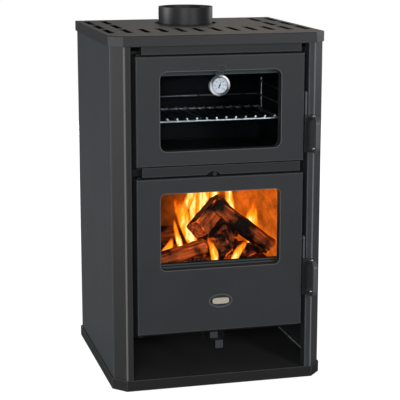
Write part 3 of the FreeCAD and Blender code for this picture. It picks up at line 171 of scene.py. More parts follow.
# Bright line along the edge of the store floor, where the sheet meets the side panels.
# A near-white strip lies along that fold as painted light, in place of the light that shows there.


def pick(*pieces):
    """Leaves object mode with only these pieces selected, so that an operator acts on nothing else."""
    if bpy.context.object and bpy.context.object.mode != "OBJECT":
        bpy.ops.object.mode_set(mode="OBJECT")
    bpy.ops.object.select_all(action="DESELECT")
    for piece in pieces:
        piece.select_set(True)
    if pieces:
        bpy.context.view_layer.objects.active = pieces[0]


def fix_place():
    """Puts the place, turn and size of the selected pieces into their meshes."""
    bpy.ops.object.transform_apply(location=True, rotation=True, scale=True)


def settle(piece, name, material, body):
    """Puts the piece's place into its mesh, names and coats it, and ties it to a CAD body."""
    pick(piece)
    fix_place()
    piece.name = name
    piece.data.name = name
    piece.data.materials.clear()
    piece.data.materials.append(material)
    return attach(piece, body)


def use_modifier(piece, kind, **settings):
    """Adds a modifier with its settings and applies it."""
    pick(piece)
    modifier = piece.modifiers.new(kind.lower(), kind)
    for name, value in settings.items():
        setattr(modifier, name, value)
    bpy.ops.object.modifier_apply(modifier=modifier.name)


LIGHT_MOTTLE_SIZE = 0.01667
light_line_paint, shader, place = new_material("painted_light_line", metallic=0.2, roughness=0.5)
light_mottle = add_node(light_line_paint, "TexNoise", {"Vector": place, "Scale": 1 / LIGHT_MOTTLE_SIZE, "Detail": 3.0})
shine = add_node(light_line_paint, "Mix", {0: light_mottle, 6: "#b4b6b4", 7: "#f4f6f2"}, data_type="RGBA")
feed(shader, base_color=shine)

floor_low, floor_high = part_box("store_floor")
EDGE_HEIGHT, EDGE_WIDTH, EDGE_ROUNDING = 0.0020, 0.0030, 0.0004
EDGE_FRONT, EDGE_REAR = -0.212, 0.12
edge_middle = (EDGE_FRONT + EDGE_REAR) / 2
for side, wall, inwards in (("left", floor_low.x, 1), ("right", floor_high.x, -1)):
    pick()
    bpy.ops.mesh.primitive_cube_add(
        size=1, location=(wall + inwards * EDGE_WIDTH / 2, edge_middle, floor_high.z + EDGE_HEIGHT / 2))
    light_strip = bpy.context.object
    light_strip.scale = (EDGE_WIDTH, EDGE_REAR - EDGE_FRONT, EDGE_HEIGHT)
    fix_place()
    use_modifier(light_strip, "BEVEL", width=EDGE_ROUNDING, segments=2)
    settle(light_strip, f"store_floor_light_line_{side}", light_line_paint, "stove")

# Inner body of 4 mm plate with its front frame, hinge lugs and catches.
# Welded, then painted matt black; inside the firebox it is dulled by soot.
coat(stove_enamel("sooty_black_plate", "#0e0d0d", "#191817", roughness=0.8, specular=0.12),
     "body_left_wall", "body_right_wall", "body_back_wall", "body_floor_plate", "grate_shelf")
# The top plate, seen through the lid's slots, is near black as painted shade for the dark space under the
# lid.
coat(stove_enamel("shade_black_top_plate", "#040404", "#090908", roughness=0.9, specular=0.05), "body_top_plate")
coat(stove_enamel("black_frame_paint", "#0a0b0b", "#121313", roughness=0.62),
     "front_frame", "hinge_lugs", "latch_catches")

# Rails over the oven door and between the doors.
# Folded strips in the charcoal enamel, made darker than the doors as painted shade for the shadow of the
# columns.
coat(stove_enamel("charcoal_enamel_rails", "#2a2c2e", "#323436", roughness=0.5, painted_fold_share=0.15),
     "top_rail", "middle_rail")

# Flue collar: rolled steel tube under satin black paint.
# Fine brushed rings stay visible round it under the paint, and its highlight runs down the tube.
# The 0.3 mm rings are drawn at 3 mm so that they show.
RING_SPACING, RING_REACH = 0.003, 0.1667
flue_paint, shader, place = new_material("satin_black_flue_paint", specular_ior_level=0.4)
rings = add_node(flue_paint, "Mapping",
                 {"Vector": place, "Scale": (1 / RING_REACH, 1 / RING_REACH, 1 / RING_SPACING)})
grain = add_node(flue_paint, "TexNoise", {"Vector": rings, "Scale": 1.0, "Detail": 2.0})
tone = add_node(flue_paint, "Mix", {0: grain, 6: "#1d1e21", 7: "#252629"}, data_type="RGBA")
sheen = add_node(flue_paint, "MapRange", {"Value": grain, "To Min": 0.4, "To Max": 0.5})
bump = add_node(flue_paint, "Bump", {"Height": grain, "Strength": 0.08, "Distance": 0.0005})
feed(shader, base_color=tone, roughness=sheen, normal=bump)
coat(flue_paint, "flue_collar")

# Oven box, runners and rack.
# The box is pressed steel in black enamel, its 1 mm specks drawn at 4 mm to show; the rest is plated wire.
# The rack's wires are browned by baking and stay bright only where they are welded to its end bars.
SPECK_SIZE = 0.004
oven_enamel, shader, place = new_material("black_oven_enamel", specular_ior_level=0.04)
speckle = add_node(oven_enamel, "TexNoise", {"Vector": place, "Scale": 1 / SPECK_SIZE, "Detail": 2.0})
specks = add_node(oven_enamel, "MapRange", {"Value": speckle, "From Min": 0.62, "From Max": 0.7})
tone = add_node(oven_enamel, "Mix", {0: specks, 6: "#010304", 7: "#070b0d"}, data_type="RGBA")
gloss = add_node(oven_enamel, "MapRange", {"Value": speckle, "To Min": 0.3, "To Max": 0.4})
feed(shader, base_color=tone, roughness=gloss)
coat(oven_enamel, "oven_box")


def plated_metal(name, dull, bright, roughness, mark_size):
    """Plated or polished metal, clouded by faint marks of the given size."""
    smoothest, roughest = 0.7, 1.3
    material, shader, place = new_material(name, metallic=1.0)
    marks = add_node(material, "TexNoise", {"Vector": place, "Scale": 1 / mark_size, "Detail": 3.0})
    tone = add_node(material, "Mix", {0: marks, 6: dull, 7: bright}, data_type="RGBA")
    gloss = add_node(material, "MapRange",
                     {"Value": marks, "To Min": roughness * smoothest, "To Max": roughness * roughest})
    feed(shader, base_color=tone, roughness=gloss)
    return material


wire_zinc = plated_metal("heat_dulled_zinc_wire", "#33373a", "#a6aaac", roughness=0.3, mark_size=0.012)
coat(wire_zinc, "oven_rack_runners")

BRIGHT_END, BROWN_MARK = 0.012, 0.00833
rack_low, rack_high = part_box("oven_rack")
rack_middle = (rack_low.y + rack_high.y) / 2
rack_reach = (rack_high.y - rack_low.y) / 2
rack_wire, shader, place = new_material("zinc_wire_browned_by_baking", metallic=1.0, roughness=0.3)
axes = add_node(rack_wire, "SeparateXYZ", {"Vector": place})
past_middle = add_node(rack_wire, "Math", {0: axes.outputs["Y"], 1: rack_middle}, operation="SUBTRACT")
from_middle = add_node(rack_wire, "Math", {0: past_middle}, operation="ABSOLUTE")
bright = add_node(rack_wire, "MapRange",
                  {"Value": from_middle, "From Min": rack_reach - BRIGHT_END,
                   "From Max": rack_reach - BRIGHT_END / 2})
marks = add_node(rack_wire, "TexNoise", {"Vector": place, "Scale": 1 / BROWN_MARK, "Detail": 3.0})
browned_and_shaded = add_node(rack_wire, "Mix", {0: marks, 6: "#0b0a09", 7: "#2e2a26"}, data_type="RGBA")
tone = add_node(rack_wire, "Mix", {0: bright, 6: browned_and_shaded, 7: "#d6d9da"}, data_type="RGBA")
feed(shader, base_color=tone)
coat(rack_wire, "oven_rack")

# Back wire of the runners: it joins the middle rails of both sides along the oven's back wall.
# The same plated wire, bent round at both ends and welded to the rails.
BACK_WIRE, WIRE_BEND, WIRE_LAP = 0.0016, 0.014, 0.002
OVEN_WALL, RAIL_INSET, SMOOTH_ANGLE = 0.002, 0.008, 0.8
runner_low, runner_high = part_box("oven_rack_runners")
oven_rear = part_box("oven_box")[1].y - OVEN_WALL
rail_x = runner_high.x - RAIL_INSET
wire_level = (runner_low.z + runner_high.z) / 2


def edit_whole_mesh():
    """Enters edit mode with the whole mesh selected."""
    bpy.ops.object.mode_set(mode="EDIT")
    bpy.ops.mesh.select_all(action="SELECT")


pick()
bpy.ops.mesh.primitive_plane_add(size=1, location=(0, runner_high.y, wire_level))
back_wire = bpy.context.object
back_wire.scale = (2 * rail_x, 2 * (oven_rear - BACK_WIRE - runner_high.y), 1)
fix_place()
edit_whole_mesh()
bpy.ops.mesh.bisect(plane_co=(0, runner_high.y - WIRE_LAP, 0), plane_no=(0, 1, 0), clear_inner=True)
bpy.ops.mesh.select_all(action="SELECT")
bpy.ops.mesh.delete(type="ONLY_FACE")
bpy.ops.object.mode_set(mode="OBJECT")
for edge in back_wire.data.edges:
    ends = [back_wire.data.vertices[end].co.y for end in edge.vertices]
    edge.select = max(ends) < runner_high.y
bpy.ops.object.mode_set(mode="EDIT")
bpy.ops.mesh.select_mode(type="EDGE")
bpy.ops.mesh.delete(type="EDGE")
bpy.ops.object.mode_set(mode="OBJECT")
for point in back_wire.data.vertices:
    point.select = point.co.y > runner_high.y
bpy.ops.object.mode_set(mode="EDIT")
bpy.ops.mesh.select_mode(type="VERT")
bpy.ops.mesh.bevel(offset=WIRE_BEND, segments=6, affect="VERTICES")
bpy.ops.object.mode_set(mode="OBJECT")
bpy.ops.object.convert(target="CURVE")
back_wire = bpy.context.object
back_wire.data.bevel_depth = BACK_WIRE
back_wire.data.bevel_resolution = 4
back_wire.data.use_fill_caps = True
bpy.ops.object.convert(target="MESH")
bpy.ops.object.shade_smooth_by_angle(angle=SMOOTH_ANGLE)
settle(bpy.context.object, "runner_back_wire", wire_zinc, "stove")

# Front ends of the rack's wires.
# Each wire is bent up over the front bar and ends in a ground dome, bright as ground zinc is and painted near
# white besides as a painted glint.
# The 0.1 mm grinding marks are drawn at 2.5 mm so that they show.
WIRE_COUNT, WIRE_END, GRIND_SIZE = 13, 0.0026, 0.0025
rack_half = (rack_high.x - rack_low.x) / 2
wire_pitch = 2 / (WIRE_COUNT + 1)


def copy_of(piece):
    """A copy of a piece, with its own mesh."""
    pick(piece)
    bpy.ops.object.duplicate(linked=False)
    return bpy.context.object


def joined(pieces):
    """Makes one piece of several, with their places in its mesh."""
    pick(*pieces)
    fix_place()
    bpy.ops.object.join()
    return bpy.context.object


# Painted glint: near white and only partly metallic, so the domes show bright under any light.
glint_white_zinc, shader, place = new_material("glint_white_ground_zinc", metallic=0.3, roughness=0.35)
marks = add_node(glint_white_zinc, "TexNoise", {"Vector": place, "Scale": 1 / GRIND_SIZE, "Detail": 2.0})
tone = add_node(glint_white_zinc, "Mix", {0: marks, 6: "#d4d7d8", 7: "#fafcfc"}, data_type="RGBA")
feed(shader, base_color=tone)

pick()
bpy.ops.mesh.primitive_uv_sphere_add(segments=14, ring_count=10, radius=WIRE_END)
wire_end = bpy.context.object
edit_whole_mesh()
bpy.ops.mesh.bisect(plane_co=(0, 0, -WIRE_END / 2), plane_no=(0, 0, 1), use_fill=True, clear_inner=True)
bpy.ops.object.mode_set(mode="OBJECT")
bpy.ops.object.shade_smooth_by_angle(angle=SMOOTH_ANGLE)
domes = []
for wire in range(1, WIRE_COUNT + 1):
    dome = copy_of(wire_end)
    dome.location = ((wire * wire_pitch - 1) * rack_half, rack_low.y + WIRE_END, rack_high.z + WIRE_END / 2)
    domes.append(dome)
settle(joined(domes), "rack_wire_ends", glint_white_zinc, "rack")
bpy.data.objects.remove(wire_end)

# Firebricks, baffle and grate.
# Pressed vermiculite bricks and baffle, crumbly and streaked with soot; the grate is rough cast iron.
# The bricks carry painted firelight, an orange emission that is stronger towards the right, where the fire
# leans against them.
CRUMB_SIZE, CRUMB_DEPTH, CRUMB_STRENGTH = 0.00625, 0.002, 0.5
SOOT_STREAK = (0.05, 0.1429, 0.0556)
FIRELIGHT_FROM, FIRELIGHT_TO = -0.1, 0.2
firebrick, shader, place = new_material("vermiculite_brick", roughness=0.95, specular_ior_level=0.1,
                                        emission_color=linear("#f26a12"))
crumb = add_node(firebrick, "TexNoise", {"Vector": place, "Scale": 1 / CRUMB_SIZE, "Detail": 4.0})
streak_map = add_node(firebrick, "Mapping", {"Vector": place, "Scale": [1 / size for size in SOOT_STREAK]})
soot = add_node(firebrick, "TexNoise",
                {"Vector": streak_map, "Scale": 1.0, "Detail": 7.0, "Roughness": 0.7})
tone = add_node(firebrick, "Mix", {0: soot, 6: "#40190a", 7: "#8c4c24"}, data_type="RGBA")
axes = add_node(firebrick, "SeparateXYZ", {"Vector": place})
# Painted firelight: the bricks' orange emission rises from left to right and is broken up by the soot
# streaks.
firelight_reach = add_node(firebrick, "MapRange",
                    {"Value": axes.outputs["X"], "From Min": FIRELIGHT_FROM, "From Max": FIRELIGHT_TO,
                     "To Min": 0.03, "To Max": 0.85})
firelight_streaks = add_node(firebrick, "MapRange",
                   {"Value": soot, "From Min": 0.36, "From Max": 0.6, "To Min": 0.3, "To Max": 1.1})
glow_and_painted_firelight = add_node(firebrick, "Math", {0: firelight_reach, 1: firelight_streaks}, operation="MULTIPLY")
bump = add_node(firebrick, "Bump", {"Height": crumb, "Strength": CRUMB_STRENGTH, "Distance": CRUMB_DEPTH})
feed(shader, base_color=tone, emission_strength=glow_and_painted_firelight, normal=bump)
coat(firebrick, "firebrick_left", "firebrick_right", "firebrick_back")

baffle, shader, place = new_material("vermiculite_baffle", roughness=0.95, specular_ior_level=0.1)
crumb = add_node(baffle, "TexNoise", {"Vector": place, "Scale": 1 / CRUMB_SIZE, "Detail": 4.0})
tone = add_node(baffle, "Mix", {0: crumb, 6: "#4a3a2c", 7: "#8a7860"}, data_type="RGBA")
bump = add_node(baffle, "Bump", {"Height": crumb, "Strength": CRUMB_STRENGTH, "Distance": CRUMB_DEPTH})
feed(shader, base_color=tone, normal=bump)
coat(baffle, "smoke_baffle")

# The 0.5 mm grain that the sand mould leaves is drawn at 3 mm so that it shows.
SAND_SIZE, SAND_DEPTH, SAND_STRENGTH = 0.00333, 0.001, 0.4
grate_iron, shader, place = new_material("rough_cast_iron", metallic=0.6, roughness=0.7)
sand = add_node(grate_iron, "TexNoise", {"Vector": place, "Scale": 1 / SAND_SIZE, "Detail": 3.0})
tone = add_node(grate_iron, "Mix", {0: sand, 6: "#161413", 7: "#3a322c"}, data_type="RGBA")
bump = add_node(grate_iron, "Bump", {"Height": sand, "Strength": SAND_STRENGTH, "Distance": SAND_DEPTH})
feed(shader, base_color=tone, normal=bump)
coat(grate_iron, "fire_grate")

# Ash drawer, damper and air slides.
# Galvanised sheet and rolled strip; the slides' finger tabs are dulled by heat and handling.
coat(plated_metal("galvanised_sheet", "#6d7072", "#94979a", roughness=0.45, mark_size=0.03), "ash_drawer")
coat(stove_enamel("heat_dulled_strip", "#33373a", "#42474a", roughness=0.5, specular=0.3),
     "primary_air_slide", "secondary_air_slide", "damper_plate")
coat(plated_metal("blackened_knob_steel", "#2b2d2f", "#45484a", roughness=0.35, mark_size=0.01), "damper_rod")

# Ash and embers on the grate and on the shelf round it.
# Loose pale ash over glowing coal, brightest in its cracks.
LUMP_SIZE, HOT_SPOT, CRACK_WIDTH = 0.01429, 0.0625, 0.22
embers, shader, place = new_material("ash_and_embers", roughness=0.95, specular_ior_level=0.1,
                                     emission_color=linear("#ff5a0c"))
lumps = add_node(embers, "TexVoronoi", {"Vector": place, "Scale": 1 / LUMP_SIZE}, feature="DISTANCE_TO_EDGE")
heat = add_node(embers, "TexNoise", {"Vector": place, "Scale": 1 / HOT_SPOT, "Detail": 3.0})
crack = add_node(embers, "MapRange",
                 {"Value": lumps, "From Max": CRACK_WIDTH, "To Min": 1.0, "To Max": 0.0})
hot = add_node(embers, "MapRange",
               {"Value": heat, "From Min": 0.45, "From Max": 0.68, "To Min": 0.01, "To Max": 0.5})
glow_and_painted_firelight = add_node(embers, "Math", {0: crack, 1: hot}, operation="MULTIPLY")
tone = add_node(embers, "Mix", {0: heat, 6: "#1c100b", 7: "#5c4234"}, data_type="RGBA")
bump = add_node(embers, "Bump", {"Height": lumps, "Strength": 0.6, "Distance": 0.004})
feed(shader, base_color=tone, emission_strength=glow_and_painted_firelight, normal=bump)

grate_low, grate_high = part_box("fire_grate")
grate_middle = (grate_low + grate_high) / 2
shelf_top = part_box("grate_shelf")[1].z
lumpy = bpy.data.textures.new("loose_ash_lumps", "CLOUDS")
lumpy.noise_scale = 0.022
lumpy.noise_depth = 2

BED_DEPTH, BED_MARGIN, BED_LUMPS, BED_SKIRT, BED_LIFT = 0.014, 0.003, 0.016, 0.05, 0.0003
pick()
bpy.ops.mesh.primitive_grid_add(
    x_subdivisions=70, y_subdivisions=64, size=1,
    location=(grate_middle.x, grate_middle.y, grate_high.z + BED_DEPTH))
bed = bpy.context.object
bed.scale = (grate_high.x - grate_low.x - BED_MARGIN, grate_high.y - grate_low.y - BED_MARGIN, 1)
fix_place()
use_modifier(bed, "DISPLACE", texture=lumpy, texture_coords="GLOBAL", direction="Z",
             strength=BED_LUMPS, mid_level=0.5)
pick(bed)
edit_whole_mesh()
bpy.ops.mesh.extrude_region_move(TRANSFORM_OT_translate={"value": (0, 0, -BED_SKIRT)})
bpy.ops.mesh.bisect(plane_co=(0, 0, grate_high.z + BED_LIFT), plane_no=(0, 0, 1),
                    use_fill=True, clear_inner=True)
bpy.ops.object.mode_set(mode="OBJECT")
settle(bed, "ember_bed", embers, "stove")

COAL_COUNT, COAL_SIZE, COAL_LUMPS = 90, 0.011, 0.008
COAL_MARGIN, COALS_BEFORE_GRATE = 0.02, 0.05
COAL_FLATNESS, COAL_SEAT = 0.8, 0.75
pick()
bpy.ops.mesh.primitive_ico_sphere_add(subdivisions=2, radius=COAL_SIZE)
coal = bpy.context.object
use_modifier(coal, "DISPLACE", texture=lumpy, texture_coords="LOCAL", strength=COAL_LUMPS, mid_level=0.5)
use_modifier(coal, "DECIMATE", ratio=0.6)
coal_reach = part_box("firebrick_right")[0].x - COAL_MARGIN
coals_front = grate_low.y - COALS_BEFORE_GRATE
coals_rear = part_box("firebrick_back")[0].y - COAL_MARGIN
picks = random.Random(7)
coals = []
for count in range(COAL_COUNT):
    coal_x = picks.uniform(-coal_reach, coal_reach)
    coal_y = picks.uniform(coals_front, coals_rear)
    on_grate = grate_low.x < coal_x < grate_high.x and grate_low.y < coal_y < grate_high.y
    size = picks.uniform(0.7, 1.5)
    rest = grate_high.z + BED_DEPTH if on_grate else shelf_top + COAL_SIZE * size * COAL_SEAT
    turn = [picks.uniform(0, math.tau) for axis in range(3)]
    lump = copy_of(coal)
    lump.location = (coal_x, coal_y, rest)
    lump.rotation_euler = turn
    lump.scale = (size, size * picks.uniform(0.8, 1.2), size * COAL_FLATNESS)
    coals.append(lump)
settle(joined(coals), "loose_coals", embers, "stove")
bpy.data.objects.remove(coal)

# Split logs stacked in the fire, laid on the embers and leaning on each other.
# Charred beech: brown split faces with the grain along the log, black cracked edges, glowing seams.
bark = bpy.data.textures.new("split_log_lumps", "CLOUDS")
bark.noise_scale = 0.03
bark.noise_depth = 3


def charred_wood(name, turn, charred):
    """Burning wood whose grain follows a log turned by these angles; the more charred, the blacker.
    The 0.5 mm fibres are drawn at 6 mm so that they show."""
    fibre_width, fibre_length, char_patch, edge_radius = 0.00588, 0.1, 0.04545, 0.006
    flat_edge, sharp_edge, edge_glow = 0.95, 0.8, 4.0
    material, shader, place = new_material(name, roughness=0.9, specular_ior_level=0.15,
                                           emission_color=linear("#ff6a10"))
    along = add_node(material, "Mapping", {"Vector": place, "Rotation": turn}, vector_type="TEXTURE")
    stretch = add_node(material, "Mapping",
                       {"Vector": along, "Scale": (1 / fibre_width, 1 / fibre_width, 1 / fibre_length)})
    grain = add_node(material, "TexNoise", {"Vector": stretch, "Scale": 1.0, "Detail": 4.0})
    char = add_node(material, "TexNoise", {"Vector": place, "Scale": 1 / char_patch, "Detail": 3.0})
    fibre = add_node(material, "MapRange", {"Value": grain, "From Min": 0.3, "From Max": 0.7})
    wood = add_node(material, "Mix", {0: fibre, 6: "#38150a", 7: "#b25828"}, data_type="RGBA")
    burnt = add_node(material, "MapRange",
                     {"Value": char, "From Min": 0.46 - charred, "From Max": 0.62 - charred})
    tone = add_node(material, "Mix", {0: burnt, 6: wood, 7: "#0d0806"}, data_type="RGBA")
    folded = add_node(material, "Bevel", {"Radius": edge_radius}, samples=6)
    flat = add_node(material, "NewGeometry")
    turn_away = add_node(material, "VectorMath",
                         {0: folded, 1: flat.outputs["True Normal"]}, operation="DOT_PRODUCT")
    edge = add_node(material, "MapRange",
                    {"Value": turn_away, "From Min": flat_edge, "From Max": sharp_edge})
    hot = add_node(material, "MapRange",
                   {"Value": char, "From Min": 0.52, "From Max": 0.44, "To Max": edge_glow})
    glow_and_painted_firelight = add_node(material, "Math", {0: edge, 1: hot}, operation="MULTIPLY")
    bump = add_node(material, "Bump", {"Height": grain, "Strength": 0.7, "Distance": 0.003})
    feed(shader, base_color=tone, emission_strength=glow_and_painted_firelight, normal=bump)
    return material


def split_log(name, foot, head, thickness, sides, roll, charred):
    """A wedge of split wood between two points: a prism, cut finer, made lumpy and with its edges broken."""
    edge_width, lump_height, smooth_angle = 0.003, 0.007, 0.6
    low, high = Vector(foot), Vector(head)
    lean = (high - low).to_track_quat("Z", "Y").to_matrix().to_4x4()
    turn = (lean @ Matrix.Rotation(roll, 4, "Z")).to_euler()
    pick()
    bpy.ops.mesh.primitive_cylinder_add(
        vertices=sides, radius=thickness / 2, depth=(high - low).length, end_fill_type="TRIFAN",
        location=(low + high) / 2, rotation=turn)
    piece = bpy.context.object
    edit_whole_mesh()
    bpy.ops.mesh.subdivide(number_cuts=3)
    bpy.ops.object.mode_set(mode="OBJECT")
    use_modifier(piece, "BEVEL", width=edge_width, segments=2, limit_method="ANGLE")
    use_modifier(piece, "SUBSURF", subdivision_type="SIMPLE", levels=2, render_levels=2)
    use_modifier(piece, "DISPLACE", texture=bark, texture_coords="GLOBAL",
                 strength=lump_height, mid_level=0.5)
    pick(piece)
    bpy.ops.object.shade_smooth_by_angle(angle=smooth_angle)
    settle(piece, name, charred_wood(f"charred_beech_{name}", turn, charred), "stove")


split_log("log_right", foot=(0.192, -0.085, 0.318), head=(0.036, -0.055, 0.442),
          thickness=0.052, sides=5, roll=0.5, charred=0.06)
split_log("log_left", foot=(-0.026, -0.105, 0.384), head=(0.066, -0.010, 0.438),
          thickness=0.066, sides=4, roll=0.25, charred=-0.01)
split_log("log_middle", foot=(0.026, -0.140, 0.338), head=(0.076, 0.010, 0.372),
          thickness=0.080, sides=5, roll=1.7, charred=0.09)
split_log("log_low_left", foot=(-0.160, -0.140, 0.310), head=(-0.004, -0.112, 0.340),
          thickness=0.046, sides=5, roll=0.9, charred=-0.02)
split_log("log_low_right", foot=(0.088, -0.135, 0.310), head=(0.194, -0.030, 0.316),
          thickness=0.042, sides=5, roll=0.3, charred=0.05)
split_log("log_back", foot=(-0.140, 0.100, 0.322), head=(0.150, 0.130, 0.330),
          thickness=0.062, sides=6, roll=0.3, charred=0.05)

# Flames: thin bright tongues that rise between the logs, pale at the heart and orange at the rim.
# Each is a flat leaf of gas, so its rim lets the view through.
WISP_WIDTH, WISP_LENGTH, RAGGEDNESS, FLAME_LIGHT = 0.0111, 0.0385, 1.1, 1.4
flame, shader, place = new_material("wood_gas_flame")
heart = add_node(flame, "Attribute", attribute_name="heart")
wisp_map = add_node(flame, "Mapping",
                    {"Vector": place, "Scale": (1 / WISP_WIDTH, 1 / WISP_WIDTH, 1 / WISP_LENGTH)})
wisp = add_node(flame, "TexNoise", {"Vector": wisp_map, "Scale": 1.0, "Detail": 2.0})
ragged = add_node(flame, "Math",
                  {0: wisp, 1: RAGGEDNESS, 2: heart.outputs["Fac"]}, operation="MULTIPLY_ADD")
cover = add_node(flame, "MapRange", {"Value": ragged, "From Min": 0.75, "From Max": 1.2})
warm = add_node(flame, "MapRange", {"Value": ragged, "From Min": 0.9, "From Max": 1.45})
outer = add_node(flame, "Mix", {0: warm, 6: "#e84a04", 7: "#ffb41e"}, data_type="RGBA")
core = add_node(flame, "MapRange", {"Value": ragged, "From Min": 1.32, "From Max": 1.62})
inner = add_node(flame, "Mix", {0: core, 6: outer, 7: "#fff2a0"}, data_type="RGBA")
light = add_node(flame, "Emission", {"Color": inner, "Strength": FLAME_LIGHT})
clear = add_node(flame, "BsdfTransparent")
blend = add_node(flame, "MixShader", {0: cover, 1: clear, 2: light})
feed(flame.node_tree.nodes["Material Output"], surface=blend)
flame.node_tree.nodes.remove(shader)


def flame_tongue(name, depth, *stations):
    """A leaf of flame through five stations of (across, height, width), standing at one depth."""
    thinness, tip_fade = 0.3, 3
    pick()
    bpy.ops.curve.primitive_nurbs_path_add(radius=1)
    piece = bpy.context.object
    piece.data.bevel_depth = 1
    piece.data.bevel_resolution = 6
    piece.data.use_fill_caps = True
    for point, (across, height, width) in zip(piece.data.splines[0].points, stations):
        point.co = (across, depth, height, 1)
        point.radius = width / 2
    bpy.ops.object.convert(target="MESH")
    piece = bpy.context.object
    foot, tip = stations[0][1], stations[-1][1]
    hearts = []
    for v in piece.data.vertices:
        rise = min(max((v.co.z - foot) / (tip - foot), 0), 1)
        hearts.append(abs(v.normal.y) * (1 - rise ** tip_fade))
    mark = piece.data.attributes.new("heart", "FLOAT", "POINT")
    mark.data.foreach_set("value", hearts)
    edit_whole_mesh()
    bpy.ops.transform.resize(value=(1, thinness, 1), center_override=(0, depth, 0))
    pick(piece)
    bpy.ops.object.shade_smooth()
    settle(piece, name, flame, "stove")


flame_tongue("flame_left", 0.05, (0.016, 0.290, 0.024), (-0.002, 0.318, 0.040), (-0.018, 0.362, 0.036),
             (-0.030, 0.404, 0.046), (-0.040, 0.456, 0.036))
flame_tongue("flame_left_fork", 0.06, (-0.030, 0.380, 0.020), (-0.024, 0.412, 0.030), (-0.004, 0.424, 0.026),
             (0.006, 0.448, 0.026), (0.000, 0.510, 0.014))
flame_tongue("flame_left_back", 0.12, (0.030, 0.330, 0.016), (0.018, 0.370, 0.020), (0.016, 0.400, 0.022),
             (0.022, 0.440, 0.030), (0.030, 0.520, 0.020))
flame_tongue("flame_top_left", 0.14, (0.050, 0.370, 0.030), (0.052, 0.398, 0.050), (0.060, 0.420, 0.046),
             (0.056, 0.450, 0.048), (0.060, 0.540, 0.024))
flame_tongue("flame_top_middle", 0.15, (0.096, 0.370, 0.030), (0.096, 0.400, 0.034), (0.090, 0.425, 0.032),
             (0.092, 0.455, 0.032), (0.096, 0.540, 0.014))
flame_tongue("flame_top_right", 0.13, (0.156, 0.340, 0.012), (0.142, 0.376, 0.022), (0.126, 0.410, 0.030),
             (0.126, 0.445, 0.032), (0.134, 0.540, 0.014))
flame_tongue("flame_thin_left", -0.03, (-0.046, 0.300, 0.014), (-0.054, 0.335, 0.022), (-0.062, 0.356, 0.020),
             (-0.068, 0.378, 0.014), (-0.072, 0.408, 0.002))
flame_tongue("flame_low_left", -0.06, (-0.118, 0.290, 0.026), (-0.106, 0.306, 0.034), (-0.094, 0.322, 0.030),
             (-0.086, 0.338, 0.020), (-0.082, 0.364, 0.004))
flame_tongue("flame_centre", -0.190, (-0.002, 0.300, 0.014), (0.006, 0.324, 0.024), (0.004, 0.344, 0.026),
             (-0.008, 0.360, 0.020), (-0.020, 0.390, 0.003))
flame_tongue("flame_arch", -0.185, (0.050, 0.298, 0.014), (0.058, 0.324, 0.024), (0.068, 0.346, 0.028),
             (0.084, 0.360, 0.020), (0.100, 0.372, 0.003))
flame_tongue("flame_right", 0.07, (0.186, 0.300, 0.044), (0.182, 0.330, 0.046), (0.178, 0.352, 0.048),
             (0.180, 0.384, 0.042), (0.188, 0.428, 0.008))

# Door trays, pressed from sheet and coated in the charcoal enamel, over black liners.
# The strips that clamp the panes are coated too, in a lighter grey than the doors: painted light where the
# window's edge shades them. The wide one of each door shows through its pane.
coat(stove_enamel("charcoal_enamel_doors", "#313336", "#393b3e", roughness=0.5, painted_fold_share=0.5),
     "oven_door_panel", "fire_door_panel")
coat(stove_enamel("black_liner_paint", "#0d0d0d", "#151515", roughness=0.7, specular=0.18),
     "oven_door_liner", "fire_door_liner")
coat(stove_enamel("charcoal_enamel_strips", "#515251", "#5b5c5b", roughness=0.5, painted_fold_share=0.4),
     "oven_glass_retainers")

# On the fire door's wide strip, the upper edge and one line below it are darkened.
SILL_REACH, DARK_EDGE, LINE_DEPTH, LINE_WIDTH = 0.023, 0.004, 0.0085, 0.0016
sill_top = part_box("fire_door_glass")[0].z + SILL_REACH
# Painted light here too: a lighter grey than the doors' charcoal enamel.
dark_lined_strips = stove_enamel("dark_lined_enamel_strips", "#5d5e5d", "#676867", roughness=0.5)
shader = dark_lined_strips.node_tree.nodes["Principled BSDF"]
clean = shader.inputs["Base Color"].links[0].from_socket
place = add_node(dark_lined_strips, "TexCoord").outputs["Object"]
axes = add_node(dark_lined_strips, "SeparateXYZ", {"Vector": place})
edge = add_node(dark_lined_strips, "MapRange",
                {"Value": axes.outputs["Z"], "From Min": sill_top - DARK_EDGE,
                 "From Max": sill_top - DARK_EDGE / 2})
edged = add_node(dark_lined_strips, "Mix", {0: edge, 6: clean, 7: "#060606"}, data_type="RGBA")
above_line = add_node(dark_lined_strips, "Math",
                      {0: axes.outputs["Z"], 1: sill_top - LINE_DEPTH}, operation="SUBTRACT")
from_line = add_node(dark_lined_strips, "Math", {0: above_line}, operation="ABSOLUTE")
line = add_node(dark_lined_strips, "MapRange",
                {"Value": from_line, "From Min": LINE_WIDTH, "From Max": LINE_WIDTH / 2})
lined = add_node(dark_lined_strips, "Mix", {0: line, 6: edged, 7: "#0a0a0a"}, data_type="RGBA")
feed(shader, base_color=lined)
coat(dark_lined_strips, "fire_glass_retainers")

# Door glass: clear ceramic glass, 4 mm thick, wiped clean.
# Faintly grey, as clean glass ceramic is. Its index is set low, because the clean pane shows no white glare.
PANE_INDEX, SMEAR_SIZE = 1.08, 0.1111
door_glass, shader, place = new_material("clear_glass_ceramic", transmission_weight=1.0, ior=PANE_INDEX,
                                         roughness=0.0)
smear = add_node(door_glass, "TexNoise", {"Vector": place, "Scale": 1 / SMEAR_SIZE, "Detail": 3.0})
tint = add_node(door_glass, "Mix", {0: smear, 6: "#f8fcff", 7: "#eef4f6"}, data_type="RGBA")
feed(shader, base_color=tint)


